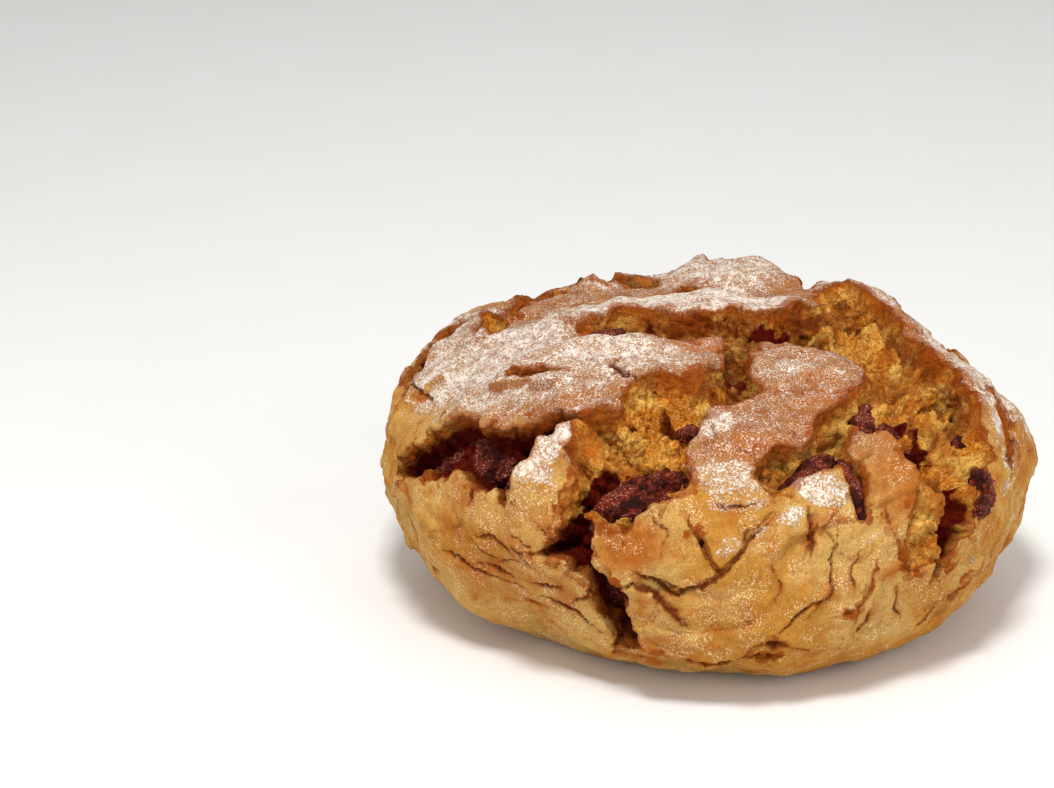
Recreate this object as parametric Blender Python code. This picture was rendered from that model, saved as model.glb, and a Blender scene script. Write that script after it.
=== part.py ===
"""A whole round chorizo cornbread, torn open on top, as solids that could be milled or printed.

Run with:  blender --background --python part.py
Units are metres and +Z is up. The loaf stands on its flat base, with the base's centre at the origin,
and its best side faces -Y.

The crust is laid out on a flat "crust map", in millimetres: the top of the loaf is at (0, 0), +u points to
+X and +v to +Y, and the distance from (0, 0) is the distance walked down the crust. Tears, lifted plates and
pieces of chorizo are all placed on that map.
"""

import itertools
import math

import bmesh
import bpy
import numpy as np
from mathutils import Matrix

MM = 0.001

# The bare loaf, before it tore open: a body of revolution.
LOAF_RADIUS = 0.104
LOAF_HEIGHT = 0.094
WIDEST_HEIGHT = 0.044
BASE_RADIUS = 0.066
DOME_FULLNESS = 2.35  # superellipse exponent of the part above the widest ring
BELLY_FULLNESS = 2.0  # the same, for the part below it
PROFILE_STEPS = 240

# How finely the loaf is made, and how far it is thinned out afterwards.
SPHERE_LEVELS = 8
VOXEL_SIZE = 0.0019
LOAF_SHARE = 0.07
BASE_TRIM = 0.0015  # cut off the underside, so that it is truly flat

# The crust map's relief, in millimetres. Each noise has a size and the distance between its bumps.
SWELL = (2.0, 60.0)  # slow unevenness of the whole loaf
WARP = (5.0, 18.0)  # how far the tears stray from their smooth outlines
RAGGED = (5.5, 10.0)
CRUMBLE = (1.4, 3.4)
WIDENING = 2.0  # the tears are this much wider than their outlines, which the overhang takes back
OVERHANG = 2.2  # how far the crust reaches out over a deep tear
CRAGS = (14.0, 13.0)  # lumps of torn crumb on a tear's floor
RUBBLE = (11.0, 5.5)
POCKETS = (5.0, 12.0)  # holes in the torn crumb: depth and distance apart
BLISTERS = (2.2, 15.0)  # unevenness of the crust itself
LIP_HEIGHT = 1.8  # the crust turns up along a tear
LIP_REACH = 6.0
FLAT_UNDERSIDE = 0.004  # height over which the relief fades out towards the base

# Broad rises and hollows of the whole loaf: centre (u, v), reach and height.
RISES = [
    (-70, -138, 34, -3.0), (104, -112, 30, 0.8), (90, 22, 30, -3.5), (0, 30, 46, -2.5), (-110, -60, 24, 2.0),
    (36, 52, 9, -6.0), (-102, -122, 22, -6.5), (120, -56, 28, -2.2),
]

# The crust has broken into plates, each a little higher or more tilted than the next.
PLATE_COUNT = 150
PLATE_LIFT = 1.2  # typical difference in height, in mm
PLATE_TILT = 0.09
MOST_LIFT = 2.0
PLATE_WANDER = ((4.0, 16.0), (1.0, 4.0))  # how far the breaks stray: size and distance between their bends

# Torn areas: depth, how far in from the edge the wall runs down, and the outline as (u, v).
TORN_AREAS = {
    "left_cavity": (18, 4, [
        (-118, -34), (-104, -38), (-90, -47), (-78, -52), (-68, -62), (-60, -61), (-50, -64), (-42, -68),
        (-48, -73), (-58, -77), (-67, -82), (-74, -87), (-78, -78), (-88, -68), (-102, -58), (-114, -45),
    ]),
    "centre_tear": (10, 4, [
        (-26, -59), (-17, -57), (-8, -58), (0, -50), (8, -62), (2, -70), (-9, -77), (-13, -85), (-12, -96),
        (-18, -103), (-32, -108), (-44, -102), (-50, -108), (-57, -100), (-54, -94), (-46, -83), (-39, -72),
        (-32, -66),
    ]),
    "centre_drop": (15, 3, [
        (-56, -98), (-44, -100), (-48, -112), (-52, -117), (-43, -117), (-39, -124), (-43, -138), (-36, -147),
        (-44, -152), (-56, -148), (-56, -136), (-54, -124), (-62, -111), (-68, -105),
    ]),
    "right_valley": (12, 9, [
        (32, 42), (33, 24), (38, 10), (38, -4), (38, -14), (36, -26), (39, -36), (42, -48), (40, -60), (37, -73),
        (46, -76), (56, -82), (66, -90), (70, -100), (74, -108), (84, -104), (90, -90), (89, -74), (88, -58),
        (84, -44), (81, -28), (75, -8), (71, 6), (69, 24), (65, 44), (50, 62),
    ]),
    "right_drop": (17, 5, [
        (66, -84), (69, -91), (70, -98), (74, -106), (80, -109), (88, -98), (90, -84), (84, -74), (74, -76),
    ]),
    "cheek_flank": (3, 2, [(56, -80), (66, -88), (71, -100), (74, -110), (67, -114), (61, -104), (58, -92)]),
    "top_step": (10, 3, [
        (-43, -14), (-32, -12), (-16, -13), (0, -14), (14, -14), (22, -8), (32, 2), (38, -4), (37, -26),
        (31, -35), (24, -36), (16, -34), (11, -33), (3, -34), (-8, -31), (-20, -33), (-30, -30), (-38, -24),
    ]),
    "middle_gap": (9, 3, [
        (2, -28), (12, -28), (12, -42), (9, -50), (14, -60), (8, -67), (0, -62), (2, -50), (0, -42),
    ]),
    "right_ledge": (6, 3, [
        (8, -93), (19, -85), (25, -79), (27, -71), (33, -66), (36, -60), (40, -54), (46, -66), (40, -74),
        (38, -84), (27, -92), (19, -99), (12, -105), (9, -99),
    ]),
}

# Narrower tears and slits: depth, wall run, and the points of the middle line as (u, v, half width).
TEARS = {
    "centre_hole": (6, 3, [(-46, -94, 5), (-34, -88, 3)]),
    "right_hole": (10, 3, [(62, -55, 4), (67, -65, 5)]),
    "side_pit": (4, 2, [(75, -44, 3), (79, -52, 2)]),
    "outer_fold": (5, 3, [(92, -20, 1.5), (101, -42, 2.5), (107, -60, 1.5)]),
    "strip_slit": (5, 2, [(37, -87, 2.2), (40, -95, 3.0), (44, -103, 2.2)]),
    "left_slit": (5, 2, [(-63, -42, 1.5), (-55, -45, 2.6), (-49, -50, 1.2)]),
    "crown_split": (6, 3, [(-8, 29, 2), (-2, 20, 3), (2, 9, 1.5)]),
    "crown_gap": (8, 4, [(-52, 44, 6), (-32, 46, 6), (-16, 40, 3)]),
    "front_crack": (5, 2, [(-13, -106, 0.8), (-9, -116, 1.4), (-5, -123, 0.8)]),
    "foot_slit": (6, 2, [(10, -149, 0.8), (23, -147, 2.8), (36, -149, 0.8)]),
    "foot_fold": (5, 2, [(-40, -152, 2.4), (-22, -156, 2.0), (2, -158, 1.4), (26, -155, 0.8)]),
    "skirt_slit": (5, 2, [(51, -116, 0.3), (50, -126, 1.4), (42, -132, 0.3)]),
    "side_fold": (4, 2, [(104, -86, 0.4), (101, -104, 1.0), (90, -122, 0.4)]),
    "cheek_fold": (4, 2, [(50, -98, 0.4), (58, -105, 1.2), (64, -112, 0.4)]),
    "back_valley": (13, 6, [(-72, 6, 5), (-64, 30, 10), (-46, 56, 14), (-22, 74, 14), (4, 86, 10), (28, 84, 5)]),
    "back_tear": (13, 5, [(34, 66, 7), (42, 84, 10), (38, 102, 9), (30, 118, 5)]),
    "back_left_tear": (12, 5, [(-58, 74, 6), (-70, 90, 8), (-74, 106, 5)]),
    "back_right_tear": (12, 5, [(92, 34, 4), (84, 56, 9), (70, 76, 10), (54, 94, 5)]),
    "back_drop": (12, 4, [(-20, 84, 6), (-24, 104, 8), (-18, 124, 4)]),
    "left_back_tear": (13, 5, [(-104, -6, 5), (-97, 18, 9), (-86, 40, 6)]),
    "back_step": (8, 3, [(-16, 58, 4), (10, 58, 5), (32, 50, 4)]),
}

# Plates that stand proud: centre (u, v), half lengths along and across, turn in degrees, and how far.
PLATES = {
    "crown": (10, 42, 20, 16, 0, 6.4),
    "back_lump": (-36, 46, 14, 8, 0, 6.0),
    "top_front": (-2, -4, 52, 14, 0, 5.0),
    "left_shoulder": (-40, -46, 40, 15, -6, 3.5),
    "middle": (28, -50, 20, 17, -25, 3.0),
    "middle_front": (4, -78, 20, 10, 10, 2.5),
    "right_cheek": (52, -86, 14, 14, 0, 3.0),
    "right_ridge": (86, -16, 10, 46, 12, 1.5),
    "left_ridge": (-51, -78, 6, 20, -52, 4.5),
    "front_flap": (-30, -112, 16, 12, 0, 2.0),
    "crumb_lump": (50, 44, 10, 8, 0, 5.0),
    "back_plate": (-2, 104, 18, 16, 0, 3.0),
    "back_left_plate": (-48, 92, 14, 14, 0, 3.0),
    "back_right_plate": (58, 62, 16, 12, 40, 3.0),
    "far_left_plate": (-86, 62, 14, 20, -30, 2.5),
}

# One-sided steps of the crust: lift, how far it falls away, and the points of the step as (u, v, share of the
# lift). The crust stands up on the left of the way from the first point to the last.
LEDGES = [
    (1.8, 9, [(14, -107, 0), (7, -112, 1), (3, -119, 1), (-5, -125, 1), (-14, -129, 0)]),
    (2.6, 11, [(-15, -143, 0), (-18, -138, 1), (-24, -131, 1), (-33, -124, 1), (-42, -121, 0.5)]),
    (1.6, 8, [(-33, -119, 0), (-26, -124, 1), (-17, -128, 1), (-8, -126, 0)]),
    (2.6, 10, [(-42, -147, 0), (-30, -152, 1), (-16, -156, 1), (0, -158, 1), (14, -155, 1), (26, -149, 1),
               (40, -149, 0.7), (54, -141, 0)]),
    (2.4, 8, [(-108, -106, 0), (-95, -121, 1), (-80, -136, 1), (-64, -149, 0)]),
    (1.4, 7, [(-95, -72, 0), (-93, -84, 1), (-91, -96, 1), (-84, -106, 0)]),
    (1.5, 8, [(-78, -96, 0), (-72, -108, 1), (-66, -118, 0)]),
    (1.6, 8, [(24, -104, 0), (27, -112, 1), (25, -120, 0)]),
    (1.5, 9, [(62, -146, 0), (54, -138, 1), (51, -126, 1), (50, -116, 0)]),
    (1.6, 9, [(30, -138, 0), (33, -130, 1), (38, -124, 0.8), (36, -116, 0)]),
    (1.8, 7, [(80, 12, 0), (93, -18, 1), (99, -46, 1), (103, -74, 0)]),
    (2.0, 9, [(130, -44, 0), (124, -22, 1), (127, 4, 1), (119, 28, 0)]),
    (2.0, 9, [(104, 88, 0), (87, 101, 1), (72, 116, 1), (56, 122, 0)]),
    (2.0, 9, [(18, 138, 0), (-6, 131, 1), (-26, 138, 1), (-46, 130, 0)]),
    (2.0, 9, [(-98, 88, 0), (-111, 67, 1), (-117, 44, 1), (-130, 26, 0)]),
    (2.0, 9, [(-136, 6, 0), (-127, -14, 1), (-130, -32, 1), (-120, -52, 0)]),
    (1.4, 8, [(-54, -40, 0), (-36, -36, 1), (-18, -42, 1), (-4, -40, 0)]),
    (1.2, 8, [(-14, 26, 0), (0, 22, 1), (18, 26, 1), (34, 24, 0)]),
]

# Pieces of chorizo: middle (u, v), length, width, thickness, heading on the map in degrees, how deep it is sunk
# in the crumb below it, how far its ends droop, its lean across its length in degrees, and sphere levels.
CHORIZO = {
    "front_strip": (-28, -98, 33, 15, 9, 25, 1.8, 1.5, 14, 3),
    "left_fork": (24, -94, 26, 8, 6, 45, 3.0, 1.5, 0, 2),
    "right_fork": (40, -95, 21, 7, 6, -61, 3.0, 1.5, 0, 2),
    "curled_strip": (45, -64, 18, 7, 5, 70, 1.0, 2.0, 20, 2),
    "twisted_strip": (55, -66, 14, 6, 5, -38, 1.2, 1.5, 0, 2),
    "small_knot": (59.5, -76, 8, 6, 5, 20, 1.0, 0.5, 0, 2),
    "right_lump": (89, -75, 16, 8, 7, -72, 3.4, 1.0, 0, 2),
    "ridge_bit": (62, 8, 10, 6, 5, 40, 1.6, 0.5, 0, 2),
    "step_strip": (-30, -17, 18, 6, 5, -12, 1.6, 1.0, 0, 2),
    "purple_bit": (-34, -32, 14, 6, 5, 35, 2.2, 0.5, 0, 2),
    "middle_bit": (-11, -76, 9, 6, 5, -20, 1.4, 0.5, 0, 2),
    "cavity_slice": (-90, -54, 42, 19, 8, -18, 1.4, 2.0, 0, 3),
    "cavity_strip": (-67, -80, 17, 10, 7, 52, 2.2, 1.0, 0, 2),
    "drop_slice": (-48, -130, 33, 13, 8, 84, 2.0, 1.0, 0, 3),
    "hole_bit": (79, -95, 15, 8, 7, 72, 2.0, 0.5, 0, 2),
    "crown_bit": (-34, 44, 13, 7, 5, -20, 1.4, 0.5, 0, 2),
    "back_strip": (-50, 52, 23, 9, 6, -48, 2.2, 1.0, 0, 2),
    "back_curl": (-8, 80, 17, 8, 6, 20, 2.0, 1.0, 0, 2),
    "back_slice": (40, 88, 22, 10, 7, 84, 2.2, 1.0, 0, 2),
    "back_left_bit": (-69, 90, 15, 7, 5, -60, 1.8, 0.5, 0, 2),
    "back_right_strip": (78, 65, 20, 8, 6, -48, 2.0, 1.0, 0, 2),
    "left_back_bit": (-96, 17, 16, 8, 6, 68, 2.0, 0.5, 0, 2),
}
CHORIZO_LUMPS = (1.7, 8.0)  # the lumps of a piece's skin: size and distance apart
CHORIZO_WRINKLES = (1.0, 3.2)
CHORIZO_TWIST = 24.0  # degrees from one end to the other
CHORIZO_SLACK = 0.45  # how much wider than the piece its pocket in the loaf is
CHORIZO_COLOUR = (0.055, 0.008, 0.007)
CRUST_COLOUR = (0.50, 0.26, 0.075)


def main():
    clear_scene()
    loaf = make_loaf(material("toasted_crust", CRUST_COLOUR, 0.8))
    meat = material("chorizo", CHORIZO_COLOUR, 0.35)
    pockets = []
    for name, numbers in CHORIZO.items():
        make_piece("chorizo_" + name, numbers, 0, meat)
        pockets.append(make_piece("pocket_" + name, numbers, CHORIZO_SLACK, meat))
    cut_out(loaf, pockets + [make_table()])


def clear_scene():
    for item in list(bpy.data.objects):
        bpy.data.objects.remove(item)


def material(name, colour, roughness):
    made = bpy.data.materials.new(name)
    made.use_nodes = True
    shader = made.node_tree.nodes["Principled BSDF"]
    shader.inputs["Base Color"].default_value = (*colour, 1.0)
    shader.inputs["Roughness"].default_value = roughness
    shader.inputs["Metallic"].default_value = 0.0
    return made


def profile():
    """The bare loaf's outline from the middle of its top to the middle of its base: radius, height and length."""
    turn = np.linspace(0, math.pi / 2, PROFILE_STEPS)
    power = 2 / DOME_FULLNESS
    dome_r = LOAF_RADIUS * np.sin(turn) ** power
    dome_z = WIDEST_HEIGHT + (LOAF_HEIGHT - WIDEST_HEIGHT) * np.cos(turn) ** power
    power = 2 / BELLY_FULLNESS
    belly_r = BASE_RADIUS + (LOAF_RADIUS - BASE_RADIUS) * np.cos(turn) ** power
    belly_z = WIDEST_HEIGHT * (1 - np.sin(turn) ** power)
    base_r = np.linspace(BASE_RADIUS, 0, PROFILE_STEPS // 4)
    radius = np.concatenate([dome_r, belly_r[1:], base_r[1:]])
    height = np.concatenate([dome_z, belly_z[1:], np.zeros(len(base_r) - 1)])
    steps = np.hypot(np.diff(radius), np.diff(height))
    return radius, height, np.concatenate([[0], np.cumsum(steps)])


PROFILE_R, PROFILE_Z, PROFILE_S = profile()


def on_crust(uv):
    """Points and outward normals of the bare loaf at these places on the crust map."""
    walked = np.hypot(uv[:, 0], uv[:, 1]) * MM
    around = np.arctan2(uv[:, 1], uv[:, 0])
    radius = np.interp(walked, PROFILE_S, PROFILE_R)
    height = np.interp(walked, PROFILE_S, PROFILE_Z)
    step = 0.5 * MM
    fall = np.interp(walked + step, PROFILE_S, PROFILE_Z) - np.interp(walked - step, PROFILE_S, PROFILE_Z)
    grow = np.interp(walked + step, PROFILE_S, PROFILE_R) - np.interp(walked - step, PROFILE_S, PROFILE_R)
    size = np.hypot(fall, grow)
    out, up = -fall / size, grow / size
    points = np.stack([radius * np.cos(around), radius * np.sin(around), height], axis=1)
    normals = np.stack([out * np.cos(around), out * np.sin(around), up], axis=1)
    return points, normals


def ripple(points, length, seed):
    """Gradient noise of about -1..1 at these points, in metres, with bumps about this many millimetres apart."""
    random = np.random.default_rng(seed)
    order = random.permutation(256)
    slopes = random.normal(size=(256, 3))
    slopes /= np.linalg.norm(slopes, axis=1)[:, None]
    scaled = points / (length * MM) + random.uniform(0, 100, 3)
    cell = np.floor(scaled).astype(int)
    within = scaled - cell
    ease = within**3 * (within * (within * 6 - 15) + 10)
    total = np.zeros(len(points))
    for corner in itertools.product((0, 1), repeat=3):
        x, y, z = (cell + corner).T
        slope = slopes[order[(order[(order[x % 256] + y) % 256] + z) % 256]]
        share = np.prod(np.where(corner, ease, 1 - ease), axis=1)
        total += share * ((within - corner) * slope).sum(axis=1)
    return 1.7 * total


def chain_distance(uv, chain):
    """Distance from the edge of a chain of (u, v, half width), negative inside, and the direction away from it."""
    best = np.full(len(uv), 1e9)
    away = np.zeros((len(uv), 2))
    for (u0, v0, w0), (u1, v1, w1) in zip(chain, chain[1:]):
        start, along = np.array([u0, v0]), np.array([u1 - u0, v1 - v0])
        share = np.clip((uv - start) @ along / (along @ along), 0, 1)
        offset = uv - (start + share[:, None] * along)
        length = np.hypot(offset[:, 0], offset[:, 1])
        distance = length - (w0 + share * (w1 - w0))
        nearer = distance < best
        best[nearer] = distance[nearer]
        away[nearer] = (offset / np.maximum(length, 1e-6)[:, None])[nearer]
    return best, away


def smooth(x, low, high):
    t = np.clip((x - low) / (high - low), 0, 1)
    return t * t * (3 - 2 * t)


def plate_lift(uv):
    """How far the standing plates raise the crust, in millimetres."""
    lift = np.zeros(len(uv))
    for u, v, along, across, turn, height in PLATES.values():
        c, s = math.cos(math.radians(turn)), math.sin(math.radians(turn))
        x = ((uv[:, 0] - u) * c + (uv[:, 1] - v) * s) / along
        y = ((uv[:, 1] - v) * c - (uv[:, 0] - u) * s) / across
        lift = np.maximum(lift, height * (1 - smooth(np.hypot(x, y), 0.55, 1.45)))
    return lift


def outline_distance(uv, outline):
    """Distance from a closed outline of (u, v), negative inside, and the direction away from the torn area."""
    best = np.full(len(uv), 1e9)
    away = np.zeros((len(uv), 2))
    inside = np.zeros(len(uv), bool)
    for (u0, v0), (u1, v1) in zip(outline, outline[1:] + outline[:1]):
        start, along = np.array([u0, v0]), np.array([u1 - u0, v1 - v0])
        share = np.clip((uv - start) @ along / (along @ along), 0, 1)
        offset = uv - (start + share[:, None] * along)
        length = np.hypot(offset[:, 0], offset[:, 1])
        nearer = length < best
        best[nearer] = length[nearer]
        away[nearer] = (offset / np.maximum(length, 1e-6)[:, None])[nearer]
        if v0 != v1:
            crosses = (uv[:, 1] < v0) != (uv[:, 1] < v1)
            inside ^= crosses & (uv[:, 0] < u0 + (uv[:, 1] - v0) * (u1 - u0) / (v1 - v0))
    side = np.where(inside, -1.0, 1.0)
    return best * side, away * side[:, None]


def ledge_lift(uv, lift, reach, chain):
    """How far a one-sided step raises the crust: sharply at its line, and falling away to the left of it."""
    best = np.full(len(uv), 1e9)
    side, share_of = np.zeros((2, len(uv)))
    for (u0, v0, w0), (u1, v1, w1) in zip(chain, chain[1:]):
        start, along = np.array([u0, v0]), np.array([u1 - u0, v1 - v0])
        share = np.clip((uv - start) @ along / (along @ along), 0, 1)
        offset = uv - (start + share[:, None] * along)
        length = np.hypot(offset[:, 0], offset[:, 1])
        nearer = length < best
        best[nearer] = length[nearer]
        side[nearer] = (along[0] * offset[:, 1] - along[1] * offset[:, 0])[nearer] / np.hypot(*along)
        share_of[nearer] = (w0 + share * (w1 - w0))[nearer]
    return lift * share_of * np.exp(-best / reach) * smooth(side, -0.3, 0.4)


def plate_middles():
    """Where the broken plates of the crust are: their middles, spread evenly over the bare loaf."""
    random = np.random.default_rng(51)
    area = np.concatenate([[0], np.cumsum(PROFILE_R[1:] * np.diff(PROFILE_S))])
    share = (np.arange(PLATE_COUNT) + random.uniform(0.1, 0.9, PLATE_COUNT)) / PLATE_COUNT
    walked = np.interp(share * area[-1], area, PROFILE_S) / MM
    around = np.arange(PLATE_COUNT) * 2.39996 + random.normal(0, 0.25, PLATE_COUNT)
    return on_crust(np.stack([walked * np.cos(around), walked * np.sin(around)], axis=1))[0]


def broken_plates(points):
    """How much the broken plates lift the crust, in mm, and how far the nearest break is, in mm."""
    random = np.random.default_rng(52)
    middles = plate_middles()
    lifts = PLATE_LIFT * random.normal(size=PLATE_COUNT)
    tilts = PLATE_TILT * random.normal(size=(PLATE_COUNT, 3))
    spots = points.copy()
    for seed, (size, length) in enumerate(PLATE_WANDER):
        for axis in range(3):
            spots[:, axis] += size * MM * ripple(points, length, 60 + 3 * seed + axis)
    first, second = np.full((2, len(points)), 1e9)
    owner = np.zeros(len(points), int)
    for index, middle in enumerate(middles):
        distance = np.sqrt(((spots - middle) ** 2).sum(axis=1))
        second = np.where(distance < first, first, np.minimum(second, distance))
        owner = np.where(distance < first, index, owner)
        first = np.minimum(first, distance)
    whole = smooth(ripple(points, 45.0, 57), 0.1, 0.4)
    lift = lifts[owner] + ((spots - middles[owner]) * tilts[owner]).sum(axis=1) / MM
    lift = MOST_LIFT * np.tanh(lift / MOST_LIFT)
    gap = (second - first) / 2 / MM
    return lift * (1 - whole) * smooth(gap, -0.6, 0.5), gap + 5 * whole


def relief(uv, points):
    """The torn crust over the bare loaf: height in millimetres, and shift across the map in millimetres."""
    warp = np.stack([ripple(points, WARP[1], seed) for seed in (11, 12)], axis=1)
    warped = uv + WARP[0] * 0.5 * warp
    ragged = RAGGED[0] * (np.abs(ripple(points, RAGGED[1], 1)) - 0.25) + CRUMBLE[0] * ripple(points, CRUMBLE[1], 2)
    crags = CRAGS[0] * (np.abs(ripple(points, CRAGS[1], 3)) - 0.3) + RUBBLE[0] * (
        np.abs(ripple(points, RUBBLE[1], 4)) - 0.25
    )
    height = SWELL[0] * ripple(points, SWELL[1], 5) + plate_lift(uv)
    for u, v, reach, rise in RISES:
        height += rise * np.exp(-((uv[:, 0] - u) ** 2 + (uv[:, 1] - v) ** 2) / reach**2)
    height += BLISTERS[0] * (np.abs(ripple(points, BLISTERS[1], 6)) - 0.3) + broken_plates(points)[0]
    for lift, reach, chain in LEDGES:
        height += ledge_lift(warped + 0.2 * ragged[:, None], lift, reach, chain)
    pockets = smooth(ripple(points, POCKETS[1], 7), 0.32, 0.5)
    shift = np.zeros_like(uv)
    deepest, lip = np.zeros((2, len(uv)))
    edges = [(*tear[:2], *outline_distance(warped, tear[2])) for tear in TORN_AREAS.values()]
    edges += [(*tear[:2], *chain_distance(warped, tear[2])) for tear in TEARS.values()]
    for depth, run, distance, away in edges:
        strength = min(1.0, depth / 9)
        distance = distance + (ragged - WIDENING) * strength**2
        inside = 1 - (1 - np.clip(-distance / run, 0, 1)) ** 2.5
        floor = (depth * (0.8 + 0.2 * smooth(-distance, run, 3 * run)) - crags * strength) * inside
        hole = pockets * smooth(-distance, 1, 4) * strength
        floor = floor + POCKETS[0] * hole
        deepest = np.maximum(deepest, floor)
        near = np.exp(-np.maximum(distance, 0) / LIP_REACH) * (1 - inside)
        lip = np.maximum(lip, LIP_HEIGHT * near * strength)
        rim = smooth(distance, -run, 0) * (1 - smooth(distance, 0, 6)) * min(1.0, depth / 12)
        shift -= away * (OVERHANG * rim)[:, None]
    return height + lip - deepest, shift


def ball_points(mesh, levels):
    """Makes the mesh a unit sphere of even triangles, and returns its points."""
    shape = bmesh.new()
    bmesh.ops.create_icosphere(shape, subdivisions=levels, radius=1.0)
    shape.to_mesh(mesh)
    shape.free()
    ball = np.empty(len(mesh.vertices) * 3)
    mesh.vertices.foreach_get("co", ball)
    return ball.reshape(-1, 3)


def add_object(name, mesh, points, finish):
    mesh.vertices.foreach_set("co", points.ravel())
    mesh.update()
    mesh.materials.append(finish)
    made = bpy.data.objects.new(name, mesh)
    bpy.context.scene.collection.objects.link(made)
    return made


def make_loaf(crust):
    """The loaf's skin: a sphere laid over the crust map, raised and sunk by the relief, then made one skin."""
    mesh = bpy.data.meshes.new("loaf")
    ball = ball_points(mesh, SPHERE_LEVELS)
    walked = np.arccos(np.clip(ball[:, 2], -1, 1)) / math.pi * PROFILE_S[-1] / MM
    around = np.arctan2(ball[:, 1], ball[:, 0])
    uv = np.stack([walked * np.cos(around), walked * np.sin(around)], axis=1)
    points, _ = on_crust(uv)
    height, shift = relief(uv, points)
    points, normals = on_crust(uv + shift)
    fade = smooth(points[:, 2], 0, FLAT_UNDERSIDE)
    points = points + normals * (height * fade * MM)[:, None]
    points[:, 2] -= BASE_TRIM * (1 - smooth(points[:, 2], 0, FLAT_UNDERSIDE))
    loaf = add_object("loaf", mesh, points, crust)
    skin = loaf.modifiers.new("one_skin", "REMESH")
    skin.mode = "VOXEL"
    skin.voxel_size = VOXEL_SIZE
    fewer = loaf.modifiers.new("fewer_faces", "DECIMATE")
    fewer.ratio = LOAF_SHARE
    return loaf


def make_piece(name, numbers, slack, meat):
    """A wrinkled strip or slice of chorizo lying on the crumb, or the pocket that it lies in."""
    u, v, length, width, thickness, heading, sink, droop, lean, levels = numbers
    mesh = bpy.data.meshes.new(name)
    ball = ball_points(mesh, levels)
    shaped = np.sign(ball) * np.abs(ball) ** (0.8, 0.65, 0.6)
    x, y, z = (shaped * (length / 2, width / 2, thickness / 2)).T
    place = np.stack([x, y, z], axis=1) * MM + (u * MM, v * MM, 0)
    run = 2 * x / length
    y = y * (1 - 0.35 * run**2) + 0.12 * width * np.sin(2.6 * run + u)
    turn = math.radians(CHORIZO_TWIST) * run / 2
    y, z = y * np.cos(turn) - z * np.sin(turn), y * np.sin(turn) + z * np.cos(turn) - droop * run**2
    local = np.stack([x, y, z], axis=1)
    lumps = CHORIZO_LUMPS[0] * ripple(place, CHORIZO_LUMPS[1], 21)
    lumps += CHORIZO_WRINKLES[0] * (0.3 - np.abs(ripple(place, CHORIZO_WRINKLES[1], 22)))
    local += ball * (lumps * min(1.0, thickness / 6))[:, None]
    tilt = Matrix.Rotation(math.radians(lean), 3, "X")
    mesh.vertices.foreach_set("co", (local @ np.array(tilt).T).ravel())
    mesh.update()
    normals = np.array([vertex.normal for vertex in mesh.vertices])
    local = local @ np.array(tilt).T + normals * slack
    along = np.array([math.cos(math.radians(heading)), math.sin(math.radians(heading))])
    spots = np.array([u, v]) + np.outer(np.linspace(-0.3, 0.3, 5) * length, along)
    heights, _ = relief(spots, on_crust(spots)[0])
    middle, out = on_crust(np.array([[u, v]]))
    ahead = on_crust(np.array([[u, v]]) + along)[0] - middle
    ahead = ahead[0] / np.linalg.norm(ahead)
    aside = np.cross(out[0], ahead)
    lift = heights.mean() + thickness / 2 - sink
    points = middle + MM * (np.outer(local[:, 0], ahead) + np.outer(local[:, 1], aside))
    points += MM * np.outer(local[:, 2] + lift, out[0])
    return add_object(name, mesh, points, meat)


def make_table():
    """A block under the loaf, whose top trims the base flat."""
    mesh = bpy.data.meshes.new("table_cutter")
    shape = bmesh.new()
    bmesh.ops.create_cube(shape, size=4 * LOAF_RADIUS)
    bmesh.ops.translate(shape, vec=(0, 0, -2 * LOAF_RADIUS), verts=shape.verts)
    shape.to_mesh(mesh)
    shape.free()
    table = bpy.data.objects.new("table_cutter", mesh)
    bpy.context.scene.collection.objects.link(table)
    return table


def cut_out(loaf, cutters):
    """Cuts every cutter from the loaf in one Boolean."""
    group = bpy.data.collections.new("cutters")
    bpy.context.scene.collection.children.link(group)
    for cutter in cutters:
        bpy.context.scene.collection.objects.unlink(cutter)
        group.objects.link(cutter)
        cutter.hide_render = True
        cutter.display_type = "WIRE"
    cut = loaf.modifiers.new("pockets", "BOOLEAN")
    cut.operation = "DIFFERENCE"
    cut.operand_type = "COLLECTION"
    cut.collection = group
    cut.solver = "EXACT"


if __name__ == "__main__":
    main()
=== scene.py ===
import itertools
import math
from functools import partial

import bmesh
import bpy
import numpy as np
from mathutils import Matrix, Vector
from mathutils.kdtree import KDTree


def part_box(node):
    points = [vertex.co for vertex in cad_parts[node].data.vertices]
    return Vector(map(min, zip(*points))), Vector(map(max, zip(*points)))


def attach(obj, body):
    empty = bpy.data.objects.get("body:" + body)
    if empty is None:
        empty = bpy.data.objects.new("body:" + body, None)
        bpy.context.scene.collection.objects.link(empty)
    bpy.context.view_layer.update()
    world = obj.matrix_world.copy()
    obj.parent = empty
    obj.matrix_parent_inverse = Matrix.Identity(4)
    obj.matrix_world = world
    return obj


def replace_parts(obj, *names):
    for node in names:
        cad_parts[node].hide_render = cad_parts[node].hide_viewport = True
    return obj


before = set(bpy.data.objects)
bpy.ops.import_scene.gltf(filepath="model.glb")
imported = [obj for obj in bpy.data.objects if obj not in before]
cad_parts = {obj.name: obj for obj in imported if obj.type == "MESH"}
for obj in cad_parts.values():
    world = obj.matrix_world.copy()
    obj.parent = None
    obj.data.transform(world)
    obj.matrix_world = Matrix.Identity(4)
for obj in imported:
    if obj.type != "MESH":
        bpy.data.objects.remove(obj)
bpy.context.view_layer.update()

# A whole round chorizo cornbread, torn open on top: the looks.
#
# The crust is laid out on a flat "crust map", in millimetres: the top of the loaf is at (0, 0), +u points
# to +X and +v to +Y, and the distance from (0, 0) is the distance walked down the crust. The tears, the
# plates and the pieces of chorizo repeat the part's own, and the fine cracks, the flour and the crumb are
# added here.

MM = 0.001

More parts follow.
